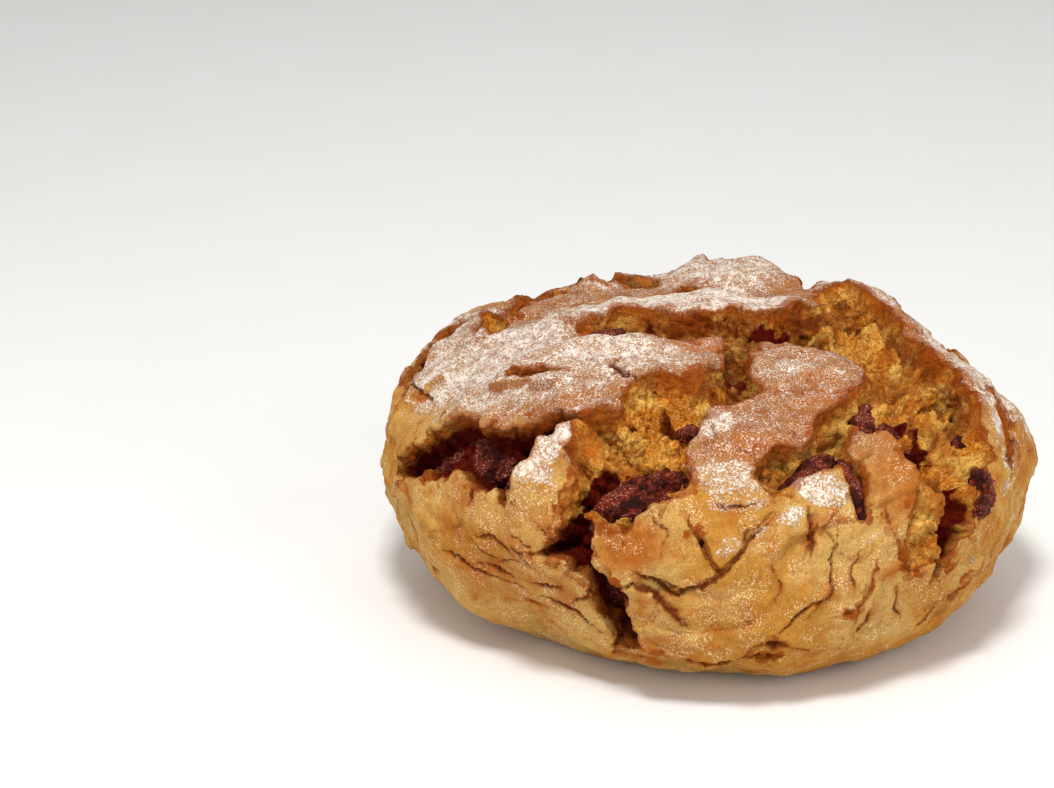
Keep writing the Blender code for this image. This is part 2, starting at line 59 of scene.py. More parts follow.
# The bare loaf, before it tore open: a body of revolution.
LOAF_RADIUS = 0.104
LOAF_HEIGHT = 0.094
WIDEST_HEIGHT = 0.044
BASE_RADIUS = 0.066
DOME_FULLNESS = 2.35  # superellipse exponent of the part above the widest ring
BELLY_FULLNESS = 2.0  # the same, for the part below it
PROFILE_STEPS = 240
FLAT_UNDERSIDE = 0.004  # height over which the relief fades out towards the base

# How finely the loaf is made.
SPHERE_LEVELS = 8
VOXEL_SIZE = 0.00078
# The pieces of the skin, from -X round by the front.
WEDGES = ["crust_front_left", "crust_front_right", "crust_back_right", "crust_back_left"]

# The crust map's relief, in millimetres. Each noise has a size and the distance between its bumps.
SWELL = (2.0, 60.0)  # slow unevenness of the whole loaf
WARP = (5.0, 18.0)  # how far the tears stray from their smooth outlines
RAGGED = (5.5, 10.0)  # the same, for the torn edge itself
CRUMBLE = (1.4, 3.4)  # and for its smallest bites
WIDENING = 2.0  # the tears are this much wider than their outlines, which the overhang takes back
OVERHANG = 2.2  # how far the crust reaches out over a deep tear
CRAGS = (14.0, 13.0)  # lumps of torn crumb on a tear's floor
RUBBLE = (11.0, 5.5)
POCKETS = (5.0, 12.0)  # holes in the torn crumb: depth and distance apart
BLISTERS = (2.2, 15.0)  # unevenness of the crust itself
LIP_HEIGHT = 1.8  # the crust turns up along a tear
LIP_REACH = 6.0

# Broad rises and hollows of the whole loaf: centre (u, v), reach and height.
RISES = [
    (-70, -138, 34, -3.0), (104, -112, 30, 0.8), (90, 22, 30, -3.5), (0, 30, 46, -2.5),
    (-110, -60, 24, 2.0), (36, 52, 9, -6.0), (-102, -122, 22, -6.5), (120, -56, 28, -2.2),
]

# The crust has broken into plates, each a little higher or more tilted than the next.
PLATE_COUNT = 150
PLATE_LIFT = 1.2  # typical difference in height, in mm
PLATE_TILT = 0.09  # typical slope
MOST_LIFT = 2.0  # no plate rises or sinks by more
PLATE_WANDER = ((4.0, 16.0), (1.0, 4.0))  # how far the breaks stray: size and distance between bends

# Torn areas: depth, how far in from the edge the wall runs down, and the outline as (u, v).
TORN_AREAS = {
    "left_cavity": (18, 4, [
        (-118, -34), (-104, -38), (-90, -47), (-78, -52), (-68, -62), (-60, -61), (-50, -64), (-42, -68),
        (-48, -73), (-58, -77), (-67, -82), (-74, -87), (-78, -78), (-88, -68), (-102, -58), (-114, -45),
    ]),
    "centre_tear": (10, 4, [
        (-26, -59), (-17, -57), (-8, -58), (0, -50), (8, -62), (2, -70), (-9, -77), (-13, -85),
        (-12, -96), (-18, -103), (-32, -108), (-44, -102), (-50, -108), (-57, -100), (-54, -94),
        (-46, -83), (-39, -72), (-32, -66),
    ]),
    "centre_drop": (15, 3, [
        (-56, -98), (-44, -100), (-48, -112), (-52, -117), (-43, -117), (-39, -124), (-43, -138),
        (-36, -147), (-44, -152), (-56, -148), (-56, -136), (-54, -124), (-62, -111), (-68, -105),
    ]),
    "right_valley": (12, 9, [
        (32, 42), (33, 24), (38, 10), (38, -4), (38, -14), (36, -26), (39, -36), (42, -48), (40, -60),
        (37, -73), (46, -76), (56, -82), (66, -90), (70, -100), (74, -108), (84, -104), (90, -90),
        (89, -74), (88, -58), (84, -44), (81, -28), (75, -8), (71, 6), (69, 24), (65, 44), (50, 62),
    ]),
    "right_drop": (17, 5, [
        (66, -84), (69, -91), (70, -98), (74, -106), (80, -109), (88, -98), (90, -84), (84, -74), (74, -76),
    ]),
    "cheek_flank": (3, 2, [(56, -80), (66, -88), (71, -100), (74, -110), (67, -114), (61, -104), (58, -92)]),
    "top_step": (10, 3, [
        (-43, -14), (-32, -12), (-16, -13), (0, -14), (14, -14), (22, -8), (32, 2), (38, -4), (37, -26),
        (31, -35), (24, -36), (16, -34), (11, -33), (3, -34), (-8, -31), (-20, -33), (-30, -30), (-38, -24),
    ]),
    "middle_gap": (9, 3, [
        (2, -28), (12, -28), (12, -42), (9, -50), (14, -60), (8, -67), (0, -62), (2, -50), (0, -42),
    ]),
    "right_ledge": (6, 3, [
        (8, -93), (19, -85), (25, -79), (27, -71), (33, -66), (36, -60), (40, -54), (46, -66), (40, -74),
        (38, -84), (27, -92), (19, -99), (12, -105), (9, -99),
    ]),
}

# Narrower tears and slits: depth, wall run, and the points of the middle line as (u, v, half width).
TEARS = {
    "centre_hole": (6, 3, [(-46, -94, 5), (-34, -88, 3)]),
    "right_hole": (10, 3, [(62, -55, 4), (67, -65, 5)]),
    "side_pit": (4, 2, [(75, -44, 3), (79, -52, 2)]),
    "outer_fold": (5, 3, [(92, -20, 1.5), (101, -42, 2.5), (107, -60, 1.5)]),
    "strip_slit": (5, 2, [(37, -87, 2.2), (40, -95, 3.0), (44, -103, 2.2)]),
    "left_slit": (5, 2, [(-63, -42, 1.5), (-55, -45, 2.6), (-49, -50, 1.2)]),
    "crown_split": (6, 3, [(-8, 29, 2), (-2, 20, 3), (2, 9, 1.5)]),
    "crown_gap": (8, 4, [(-52, 44, 6), (-32, 46, 6), (-16, 40, 3)]),
    "front_crack": (5, 2, [(-13, -106, 0.8), (-9, -116, 1.4), (-5, -123, 0.8)]),
    "foot_slit": (6, 2, [(10, -149, 0.8), (23, -147, 2.8), (36, -149, 0.8)]),
    "foot_fold": (5, 2, [(-40, -152, 2.4), (-22, -156, 2.0), (2, -158, 1.4), (26, -155, 0.8)]),
    "skirt_slit": (5, 2, [(51, -116, 0.3), (50, -126, 1.4), (42, -132, 0.3)]),
    "side_fold": (4, 2, [(104, -86, 0.4), (101, -104, 1.0), (90, -122, 0.4)]),
    "cheek_fold": (4, 2, [(50, -98, 0.4), (58, -105, 1.2), (64, -112, 0.4)]),
    "back_valley": (13, 6, [
        (-72, 6, 5), (-64, 30, 10), (-46, 56, 14), (-22, 74, 14), (4, 86, 10), (28, 84, 5),
    ]),
    "back_tear": (13, 5, [(34, 66, 7), (42, 84, 10), (38, 102, 9), (30, 118, 5)]),
    "back_left_tear": (12, 5, [(-58, 74, 6), (-70, 90, 8), (-74, 106, 5)]),
    "back_right_tear": (12, 5, [(92, 34, 4), (84, 56, 9), (70, 76, 10), (54, 94, 5)]),
    "back_drop": (12, 4, [(-20, 84, 6), (-24, 104, 8), (-18, 124, 4)]),
    "left_back_tear": (13, 5, [(-104, -6, 5), (-97, 18, 9), (-86, 40, 6)]),
    "back_step": (8, 3, [(-16, 58, 4), (10, 58, 5), (32, 50, 4)]),
}

# Plates that stand proud: centre (u, v), half lengths along and across, turn in degrees, and how far.
PLATES = {
    "crown": (10, 42, 20, 16, 0, 6.4),
    "back_lump": (-36, 46, 14, 8, 0, 6.0),
    "top_front": (-2, -4, 52, 14, 0, 5.0),
    "left_shoulder": (-40, -46, 40, 15, -6, 3.5),
    "middle": (28, -50, 20, 17, -25, 3.0),
    "middle_front": (4, -78, 20, 10, 10, 2.5),
    "right_cheek": (52, -86, 14, 14, 0, 3.0),
    "right_ridge": (86, -16, 10, 46, 12, 1.5),
    "left_ridge": (-51, -78, 6, 20, -52, 4.5),
    "front_flap": (-30, -112, 16, 12, 0, 2.0),
    "crumb_lump": (50, 44, 10, 8, 0, 5.0),
    "back_plate": (-2, 104, 18, 16, 0, 3.0),
    "back_left_plate": (-48, 92, 14, 14, 0, 3.0),
    "back_right_plate": (58, 62, 16, 12, 40, 3.0),
    "far_left_plate": (-86, 62, 14, 20, -30, 2.5),
}

# One-sided steps of the crust: lift, how far it falls away, and the points of the step as (u, v, share of
# the lift). The crust stands up on the left of the way from the first point to the last.
LEDGES = [
    (1.8, 9, [(14, -107, 0), (7, -112, 1), (3, -119, 1), (-5, -125, 1), (-14, -129, 0)]),
    (2.6, 11, [(-15, -143, 0), (-18, -138, 1), (-24, -131, 1), (-33, -124, 1), (-42, -121, 0.5)]),
    (1.6, 8, [(-33, -119, 0), (-26, -124, 1), (-17, -128, 1), (-8, -126, 0)]),
    (2.6, 10, [(-42, -147, 0), (-30, -152, 1), (-16, -156, 1), (0, -158, 1), (14, -155, 1), (26, -149, 1),
               (40, -149, 0.7), (54, -141, 0)]),
    (2.4, 8, [(-108, -106, 0), (-95, -121, 1), (-80, -136, 1), (-64, -149, 0)]),
    (1.4, 7, [(-95, -72, 0), (-93, -84, 1), (-91, -96, 1), (-84, -106, 0)]),
    (1.5, 8, [(-78, -96, 0), (-72, -108, 1), (-66, -118, 0)]),
    (1.6, 8, [(24, -104, 0), (27, -112, 1), (25, -120, 0)]),
    (1.5, 9, [(62, -146, 0), (54, -138, 1), (51, -126, 1), (50, -116, 0)]),
    (1.6, 9, [(30, -138, 0), (33, -130, 1), (38, -124, 0.8), (36, -116, 0)]),
    (1.8, 7, [(80, 12, 0), (93, -18, 1), (99, -46, 1), (103, -74, 0)]),
    (2.0, 9, [(130, -44, 0), (124, -22, 1), (127, 4, 1), (119, 28, 0)]),
    (2.0, 9, [(104, 88, 0), (87, 101, 1), (72, 116, 1), (56, 122, 0)]),
    (2.0, 9, [(18, 138, 0), (-6, 131, 1), (-26, 138, 1), (-46, 130, 0)]),
    (2.0, 9, [(-98, 88, 0), (-111, 67, 1), (-117, 44, 1), (-130, 26, 0)]),
    (2.0, 9, [(-136, 6, 0), (-127, -14, 1), (-130, -32, 1), (-120, -52, 0)]),
    (1.4, 8, [(-54, -40, 0), (-36, -36, 1), (-18, -42, 1), (-4, -40, 0)]),
    (1.2, 8, [(-14, 26, 0), (0, 22, 1), (18, 26, 1), (34, 24, 0)]),
]

# Pieces of chorizo: middle (u, v), length, width, thickness, heading on the map in degrees, how deep it is
# sunk in the crumb below it, how far its ends droop, its lean across its length in degrees, and sphere
# levels.
CHORIZO = {
    "front_strip": (-28, -98, 33, 15, 9, 25, 1.8, 1.5, 14, 3),
    "left_fork": (24, -94, 26, 8, 6, 45, 3.0, 1.5, 0, 2),
    "right_fork": (40, -95, 21, 7, 6, -61, 3.0, 1.5, 0, 2),
    "curled_strip": (45, -64, 18, 7, 5, 70, 1.0, 2.0, 20, 2),
    "twisted_strip": (55, -66, 14, 6, 5, -38, 1.2, 1.5, 0, 2),
    "small_knot": (59.5, -76, 8, 6, 5, 20, 1.0, 0.5, 0, 2),
    "right_lump": (89, -75, 16, 8, 7, -72, 3.4, 1.0, 0, 2),
    "ridge_bit": (62, 8, 10, 6, 5, 40, 1.6, 0.5, 0, 2),
    "step_strip": (-30, -17, 18, 6, 5, -12, 1.6, 1.0, 0, 2),
    "purple_bit": (-34, -32, 14, 6, 5, 35, 2.2, 0.5, 0, 2),
    "middle_bit": (-11, -76, 9, 6, 5, -20, 1.4, 0.5, 0, 2),
    "cavity_slice": (-90, -54, 42, 19, 8, -18, 1.4, 2.0, 0, 3),
    "cavity_strip": (-67, -80, 17, 10, 7, 52, 2.2, 1.0, 0, 2),
    "drop_slice": (-48, -130, 33, 13, 8, 84, 2.0, 1.0, 0, 3),
    "hole_bit": (79, -95, 15, 8, 7, 72, 2.0, 0.5, 0, 2),
    "crown_bit": (-34, 44, 13, 7, 5, -20, 1.4, 0.5, 0, 2),
    "back_strip": (-50, 52, 23, 9, 6, -48, 2.2, 1.0, 0, 2),
    "back_curl": (-8, 80, 17, 8, 6, 20, 2.0, 1.0, 0, 2),
    "back_slice": (40, 88, 22, 10, 7, 84, 2.2, 1.0, 0, 2),
    "back_left_bit": (-69, 90, 15, 7, 5, -60, 1.8, 0.5, 0, 2),
    "back_right_strip": (78, 65, 20, 8, 6, -48, 2.0, 1.0, 0, 2),
    "left_back_bit": (-96, 17, 16, 8, 6, 68, 2.0, 0.5, 0, 2),
}
CHORIZO_LUMPS = (1.7, 8.0)  # the lumps of a piece's skin: size and distance apart
CHORIZO_WRINKLES = (1.0, 3.2)  # the same, for its wrinkles
CHORIZO_TWIST = 24.0  # degrees from one end to the other

# Other bits of chorizo that show, too small to be solids of their own. The numbers are the same as above.
CHORIZO_BITS = {
    "right_crumb": (84, -53, 7, 5, 4, 10, 1.4, 0.3, 0, 2),
    "thin_strip": (3, -67, 9, 5, 4, 12, 1.2, 0.5, 0, 2),
    "plate_bit": (33, -31, 9, 5, 4, -10, 1.2, 0.5, 0, 2),
    "step_crumb": (20, 54, 9, 6, 5, 0, 1.6, 0.3, 0, 2),
}
CHORIZO_LEVELS = {2: 5, 3: 6}  # sphere levels of the fine pieces, for those of the part
CHORIZO_CREASES = (1.3, 1.7)  # the finest wrinkles, for the fine pieces alone

# Cracks of the skirt, too fine for the solid: the points of the middle line as (u, v, half width).
CRACKS = [
    [(24, -104, 0.4), (26, -111, 0.9), (27, -118, 0.3)],
    [(35, -108, 0.3), (35, -118, 0.8), (38, -128, 0.4)],
    [(38, -128, 0.4), (31, -130, 0.9), (26, -137, 0.7), (21, -142, 0.3)],
    [(60, -149, 0.3), (55, -146, 0.7), (50, -139, 0.4)],
    [(-33, -121, 0.5), (-25, -127, 1.0), (-18, -130, 1.0), (-11, -129, 0.8), (-5, -126, 0.5)],
    [(-5, -125, 0.8), (3, -119, 0.6), (6, -112, 0.5), (13, -108, 0.3)],
    [(-42, -122, 0.4), (-32, -126, 0.8), (-22, -134, 0.9), (-16, -141, 0.4)],
    [(-4, -105, 0.3), (2, -106, 0.7), (8, -104, 0.4)],
    [(-101, -92, 0.3), (-94, -100, 0.8), (-90, -108, 0.4)],
    [(-92, -86, 0.3), (-84, -92, 0.7), (-80, -100, 0.8), (-77, -106, 0.3)],
    [(-82, -112, 0.3), (-74, -118, 0.8), (-68, -120, 0.4)],
    [(-70, -128, 0.3), (-62, -127, 0.8), (-56, -124, 0.4)],
    [(-75, -96, 0.3), (-70, -102, 0.6), (-66, -110, 0.3)],
    [(58, -126, 0.3), (62, -133, 0.7), (58, -140, 0.3)],
    [(14, -122, 0.3), (18, -127, 0.5), (17, -133, 0.2)],
    [(44, -112, 0.3), (43, -119, 0.6), (46, -124, 0.3)],
    [(-24, -106, 0.3), (-20, -112, 0.5), (-22, -117, 0.3)],
    [(66, -118, 0.4), (72, -124, 0.8), (80, -126, 0.4)],
    [(-112, -78, 0.3), (-106, -88, 0.8), (-100, -100, 0.6), (-90, -112, 0.3)],
    [(-84, -118, 0.3), (-76, -126, 0.9), (-66, -134, 0.8), (-60, -142, 0.3)],
    [(-64, -96, 0.3), (-60, -106, 0.7), (-64, -114, 0.3)],
    [(-98, -112, 0.3), (-92, -118, 0.6), (-84, -126, 0.3)],
    [(-38, -148, 0.6), (-24, -153, 1.5), (-8, -156, 1.4), (8, -155, 0.9), (20, -150, 1.3), (34, -147, 0.4)],
    [(-30, -46, 0.4), (-33, -52, 0.9), (-26, -58, 0.5)],
    [(-12, 22, 0.4), (-4, 16, 0.9), (6, 20, 0.7), (14, 17, 0.3)],
]
CRACK_DEPTH = 1.4  # in mm
CRACK_WANDER = ((1.2, 5.0, (45, 46)), (0.6, 1.9, (50, 51)))  # size, distance between bends and seeds
MORE_CRACKS = 70  # the rest of the skirt's cracks, all round but for the front

# The fine relief of the skin. Each noise has a size, the distance between its bumps and a seed.
COARSE_LUMPS = (0.6, 3.6, 41)  # torn crumb
FINE_LUMPS = (0.4, 2.0, 42)
LUMP_DEPTH = 2.4
ROUGH_STRETCHES = (22.0, 49)  # where the crumb is rougher than elsewhere
SKIN_WAVES = (0.5, 9.0, 43)  # crust
SKIN_WRINKLES = (0.5, 4.4, 44)
SKIN_GRAIN = (0.2, 1.9, 47)
CLOSED_BREAKS = (3.0, 14.0, 48)  # where the breaks between the plates have closed up

# Where flour lies: centre (u, v), half lengths along and across, turn in degrees, and how thick.
FLOUR = [
    (5, 42, 27, 27, 0, 0.76), (-8, -1, 51, 18, 0, 0.84), (-48, -42, 50, 20, -6, 0.72),
    (-34, -40, 20, 10, -10, 0.8), (24, -46, 24, 20, -25, 0.5), (22, -50, 9, 6, 0, 0.7),
    (2, -74, 18, 9, 25, 0.47), (-4, -79, 8, 5, 0, 0.76), (-52, -78, 8, 25, -52, 0.86),
    (96, -8, 22, 70, 14, 0.7), (85, 10, 9, 46, 12, 0.85), (95, -46, 4, 30, 12, 0.85),
    (108, -50, 9, 28, 8, 0.72), (-1, -96, 12, 7, 0, 0.72), (2, -104, 12, 4, 0, 0.6),
    (28, -98, 11, 6, 0, 0.8), (0, -116, 4, 3, 0, 0.8), (12, -114, 5, 4, 0, 0.65),
    (62, -108, 6, 8, 0, 0.6), (70, -130, 9, 6, 0, 0.5), (106, -72, 9, 20, 0, 0.6),
    (48, -107, 9, 5, 0, 0.55), (-30, 60, 40, 26, 20, 0.85), (-4, 104, 34, 22, 0, 0.8),
    (60, 64, 22, 18, 40, 0.8), (-88, 20, 26, 44, 0, 0.75), (54, 30, 16, 34, 0, 0.4),
    (-100, -60, 18, 10, 20, 0.42), (-72, -18, 34, 24, 0, 0.8), (-96, 70, 26, 22, 0, 0.55),
    (18, 128, 24, 14, 0, 0.5), (-2, -118, 3, 2, 0, 1.0), (15, -117, 4, 3, 20, 0.95),
    (19, -108, 6, 3, 40, 0.8), (57, -116, 3, 3, 0, 0.9), (97, -93, 6, 9, 0, 0.75),
    (86, -106, 4, 6, 30, 0.62), (-88, -72, 7, 4, -30, 0.55), (-18, -140, 4, 2, 20, 0.7),
    (40, -124, 3, 4, 0, 0.75), (6, -98, 7, 4, 0, 0.72), (-90, -86, 5, 4, 0, 0.6),
]
# The same, for the crust that is baked darkest.
TOASTED = [
    (-32, -113, 13, 8, 0, 1.0), (-78, -98, 16, 10, 30, 0.6), (52, -88, 12, 14, 0, 0.8),
    (-28, -147, 18, 5, -14, 0.8), (-58, -104, 6, 12, 20, 0.7), (6, -88, 14, 5, 12, 0.7),
    (70, -104, 5, 12, 20, 0.5), (-96, -76, 14, 7, 20, 0.6), (-2, -18, 46, 7, 0, 0.9),
    (50, 44, 12, 10, 0, 0.8), (71, 2, 7, 40, 12, 0.7), (66, 46, 10, 12, 0, 0.6),
    (-20, -38, 30, 6, 0, 0.6), (-50, -76, 7, 20, -52, 0.7), (-88, -104, 34, 22, -40, 0.45),
    (-70, -122, 12, 6, -50, 0.7), (-104, -92, 6, 12, 40, 0.6), (-36, 46, 14, 8, 0, 0.9),
    (30, -60, 8, 8, 0, 0.5), (112, -30, 10, 20, 10, 0.5), (102, -44, 5, 30, 10, 0.3),
    (32, 40, 6, 12, 0, 0.9), (32, -4, 13, 7, 0, 0.9), (84, -34, 5, 16, 10, 0.9),
    (79, 14, 4, 20, 10, 0.9), (62, -84, 5, 12, 30, 0.6), (-60, 110, 14, 12, 0, 0.7),
    (70, 100, 14, 10, 0, 0.7), (-118, 30, 10, 20, 0, 0.6), (10, 118, 16, 8, 0, 0.6),
]
DUSTING = 0.3  # the thin flour that lies on all the crust

# How much painted shade darkens the floor of each tear: the rest show yellow crumb all the way down.
SHADED_TEARS = {
    "left_cavity": 1.0, "centre_drop": 0.8, "right_drop": 0.9, "centre_hole": 0.8, "right_hole": 0.9,
    "top_step": 0.25, "crown_gap": 0.5, "foot_slit": 0.8, "foot_fold": 0.8, "skirt_slit": 0.8,
    "front_crack": 0.7, "left_slit": 0.9, "middle_gap": 0.45, "strip_slit": 0.5, "side_fold": 0.6,
    "back_drop": 0.8, "back_tear": 0.5, "left_back_tear": 0.7, "back_left_tear": 0.5, "right_ledge": 0.3,
}

# Deep places in the crumb, which painted shade makes darker than the rest of their tear: the same numbers as
# the flour's.
SHADED_HOLLOWS = [
    (-48, -133, 13, 22, 0, 1.0), (-47, -104, 6, 5, 0, 0.9), (-21, -17, 12, 4, 0, 1.0),
    (18, -15, 11, 4, 20, 1.0), (6, -52, 4, 5, 0, 1.0), (63, -60, 10, 9, -60, 1.0),
    (-16, -66, 5, 3, 20, 0.6), (74, -90, 6, 10, 20, 0.7), (48, 20, 5, 4, 0, 0.4),
]

# Colours as on a screen, 0 to 255.
CRUST_PALE = (195, 156, 87)
CRUST_GOLD = (182, 128, 50)
CRUST_TOASTED = (178, 100, 32)
CRUST_TOP = (138, 80, 44)
CRUST_BAKED = (166, 88, 24)
CRUST_RIM = (140, 66, 16)
CRUST_GRAIN = (148, 88, 34)
CRUST_FLECK = (234, 208, 168)
# Painted shade of the crust's small pits, which the relief doesn't carve.
CRUST_PIT_SHADE = (112, 56, 14)
# Dark brown of the cracks, partly their own colour and partly painted shade, and painted shadow at the foot
# of each ledge.
CRACK_AND_LEDGE_SHADE = (92, 36, 8)
FLOUR_COLOUR = (230, 219, 205)
FLOUR_FILM = (184, 144, 106)
CRUMB_DEEP = (222, 140, 38)
CRUMB_PALE = (238, 184, 84)
# Painted shade, warm orange-brown, in the creases between the lumps of the crumb.
CRUMB_CREASE_SHADE = (178, 84, 14)
# Painted shade in the crumb's pores, and painted highlights on the tips between them.
CRUMB_PORE_SHADE = (146, 64, 10)
CRUMB_TIP_HIGHLIGHT = (250, 214, 136)
CRUMB_TOASTED = (178, 88, 22)
CRUMB_SCORCHED = (112, 42, 6)
CRUMB_RIM = (160, 70, 12)
BREAD_SHADE = (118, 58, 14)
# Painted shade on the floors of the deep tears and in the hollows of the crumb.
MAROON_SHADE = (80, 4, 1)
MEAT_DARK = (42, 7, 2)
MEAT_RED = (106, 28, 8)
MEAT_FAT = (146, 52, 16)
# Light specks of the chorizo: partly grains of flour, partly painted glints.
MEAT_FLOUR_AND_GLINT = (206, 170, 146)
FLOOR_TONES = ((236, 235, 232), (241, 240, 238))

# The studio.
CAMERA_TARGET = (-0.059, 0, 0.065)
CAMERA_ELEVATION = 20
CAMERA_DISTANCE = 0.86
LENS = 90
FLOOR_SIZE = 6.0
FLOOR_GAP = 0.0002
SURROUND = 0.48
LIGHTS = {  # place, size and power
    "key": ((-0.1, -0.5, 1.05), 0.22, 9.5),
    "fill": ((0.9, -0.7, 0.5), 0.9, 5),
    "left": ((-0.9, -0.7, 0.3), 0.8, 3),
    "back": ((0.1, 0.9, 0.9), 0.8, 1.5),
}


def profile():
    """The bare loaf's outline, from the middle of its top to that of its base: radius, height and length."""
    turn = np.linspace(0, math.pi / 2, PROFILE_STEPS)
    power = 2 / DOME_FULLNESS
    dome_r = LOAF_RADIUS * np.sin(turn) ** power
    dome_z = WIDEST_HEIGHT + (LOAF_HEIGHT - WIDEST_HEIGHT) * np.cos(turn) ** power
    power = 2 / BELLY_FULLNESS
    belly_r = BASE_RADIUS + (LOAF_RADIUS - BASE_RADIUS) * np.cos(turn) ** power
    belly_z = WIDEST_HEIGHT * (1 - np.sin(turn) ** power)
    base_r = np.linspace(BASE_RADIUS, 0, PROFILE_STEPS // 4)
    radius = np.concatenate([dome_r, belly_r[1:], base_r[1:]])
    height = np.concatenate([dome_z, belly_z[1:], np.zeros(len(base_r) - 1)])
    steps = np.hypot(np.diff(radius), np.diff(height))
    return radius, height, np.concatenate([[0], np.cumsum(steps)])


PROFILE_R, PROFILE_Z, PROFILE_S = profile()


def on_crust(uv):
    """Points and outward normals of the bare loaf at these places on the crust map."""
    walked = np.hypot(uv[:, 0], uv[:, 1]) * MM
    around = np.arctan2(uv[:, 1], uv[:, 0])
    radius = np.interp(walked, PROFILE_S, PROFILE_R)
    height = np.interp(walked, PROFILE_S, PROFILE_Z)
    step = 0.5 * MM
    fall = np.interp(walked + step, PROFILE_S, PROFILE_Z) - np.interp(walked - step, PROFILE_S, PROFILE_Z)
    grow = np.interp(walked + step, PROFILE_S, PROFILE_R) - np.interp(walked - step, PROFILE_S, PROFILE_R)
    size = np.hypot(fall, grow)
    out, up = -fall / size, grow / size
    points = np.stack([radius * np.cos(around), radius * np.sin(around), height], axis=1)
    normals = np.stack([out * np.cos(around), out * np.sin(around), up], axis=1)
    return points, normals


def ripple(points, length, seed):
    """Gradient noise of about -1..1 at these points, with bumps about this many millimetres apart."""
    random = np.random.default_rng(seed)
    order = random.permutation(256)
    slopes = random.normal(size=(256, 3))
    slopes /= np.linalg.norm(slopes, axis=1)[:, None]
    scaled = points / (length * MM) + random.uniform(0, 100, 3)
    cell = np.floor(scaled).astype(int)
    within = scaled - cell
    ease = within**3 * (within * (within * 6 - 15) + 10)
    total = np.zeros(len(points))
    for corner in itertools.product((0, 1), repeat=3):
        x, y, z = (cell + corner).T
        slope = slopes[order[(order[(order[x % 256] + y) % 256] + z) % 256]]
        share = np.prod(np.where(corner, ease, 1 - ease), axis=1)
        total += share * ((within - corner) * slope).sum(axis=1)
    return 1.7 * total


def chain_distance(uv, chain):
    """Distance from the edge of a chain of (u, v, half width), negative inside, and the way away from it."""
    best = np.full(len(uv), 1e9)
    away = np.zeros((len(uv), 2))
    for (u0, v0, w0), (u1, v1, w1) in zip(chain, chain[1:]):
        start, along = np.array([u0, v0]), np.array([u1 - u0, v1 - v0])
        share = np.clip((uv - start) @ along / (along @ along), 0, 1)
        offset = uv - (start + share[:, None] * along)
        length = np.hypot(offset[:, 0], offset[:, 1])
        distance = length - (w0 + share * (w1 - w0))
        nearer = distance < best
        best[nearer] = distance[nearer]
        away[nearer] = (offset / np.maximum(length, 1e-6)[:, None])[nearer]
    return best, away


def outline_distance(uv, outline):
    """Distance from a closed outline of (u, v), negative inside, and the way away from the torn area."""
    best = np.full(len(uv), 1e9)
    away = np.zeros((len(uv), 2))
    inside = np.zeros(len(uv), bool)
    for (u0, v0), (u1, v1) in zip(outline, outline[1:] + outline[:1]):
        start, along = np.array([u0, v0]), np.array([u1 - u0, v1 - v0])
        share = np.clip((uv - start) @ along / (along @ along), 0, 1)
        offset = uv - (start + share[:, None] * along)
        length = np.hypot(offset[:, 0], offset[:, 1])
        nearer = length < best
        best[nearer] = length[nearer]
        away[nearer] = (offset / np.maximum(length, 1e-6)[:, None])[nearer]
        if v0 != v1:
            crosses = (uv[:, 1] < v0) != (uv[:, 1] < v1)
            inside ^= crosses & (uv[:, 0] < u0 + (uv[:, 1] - v0) * (u1 - u0) / (v1 - v0))
    side = np.where(inside, -1.0, 1.0)
    return best * side, away * side[:, None]


def smooth(x, low, high):
    """A soft step from 0 at low to 1 at high."""
    t = np.clip((x - low) / (high - low), 0, 1)
    return t * t * (3 - 2 * t)


def patches(uv, ellipses, core, reach):
    """The strongest of these soft ellipses at each place: full inside core, gone at reach, of their size."""
    most = np.zeros(len(uv))
    for u, v, along, across, turn, amount in ellipses:
        c, s = math.cos(math.radians(turn)), math.sin(math.radians(turn))
        x = ((uv[:, 0] - u) * c + (uv[:, 1] - v) * s) / along
        y = ((uv[:, 1] - v) * c - (uv[:, 0] - u) * s) / across
        most = np.maximum(most, amount * (1 - smooth(np.hypot(x, y), core, reach)))
    return most


def ledge_lift(uv, lift, reach, chain):
    """How far a one-sided step raises the crust: sharply at its line, and falling away to the left of it.
    The second result is the distance from the foot of the step, negative in its shade, where the bread's
    colour paints a dark line of shadow."""
    best = np.full(len(uv), 1e9)
    side, share_of = np.zeros((2, len(uv)))
    for (u0, v0, w0), (u1, v1, w1) in zip(chain, chain[1:]):
        start, along = np.array([u0, v0]), np.array([u1 - u0, v1 - v0])
        share = np.clip((uv - start) @ along / (along @ along), 0, 1)
        offset = uv - (start + share[:, None] * along)
        length = np.hypot(offset[:, 0], offset[:, 1])
        nearer = length < best
        best[nearer] = length[nearer]
        side[nearer] = (along[0] * offset[:, 1] - along[1] * offset[:, 0])[nearer] / np.hypot(*along)
        share_of[nearer] = (w0 + share * (w1 - w0))[nearer]
    raised = lift * share_of * np.exp(-best / reach) * smooth(side, -0.3, 0.4)
    return raised, np.where(side < 0, best, best + 0.3) - 0.7 * share_of


def plate_middles():
    """Where the broken plates of the crust are: their middles, spread evenly over the bare loaf."""
    random = np.random.default_rng(51)
    area = np.concatenate([[0], np.cumsum(PROFILE_R[1:] * np.diff(PROFILE_S))])
    share = (np.arange(PLATE_COUNT) + random.uniform(0.1, 0.9, PLATE_COUNT)) / PLATE_COUNT
    walked = np.interp(share * area[-1], area, PROFILE_S) / MM
    around = np.arange(PLATE_COUNT) * 2.39996 + random.normal(0, 0.25, PLATE_COUNT)
    return on_crust(np.stack([walked * np.cos(around), walked * np.sin(around)], axis=1))[0]


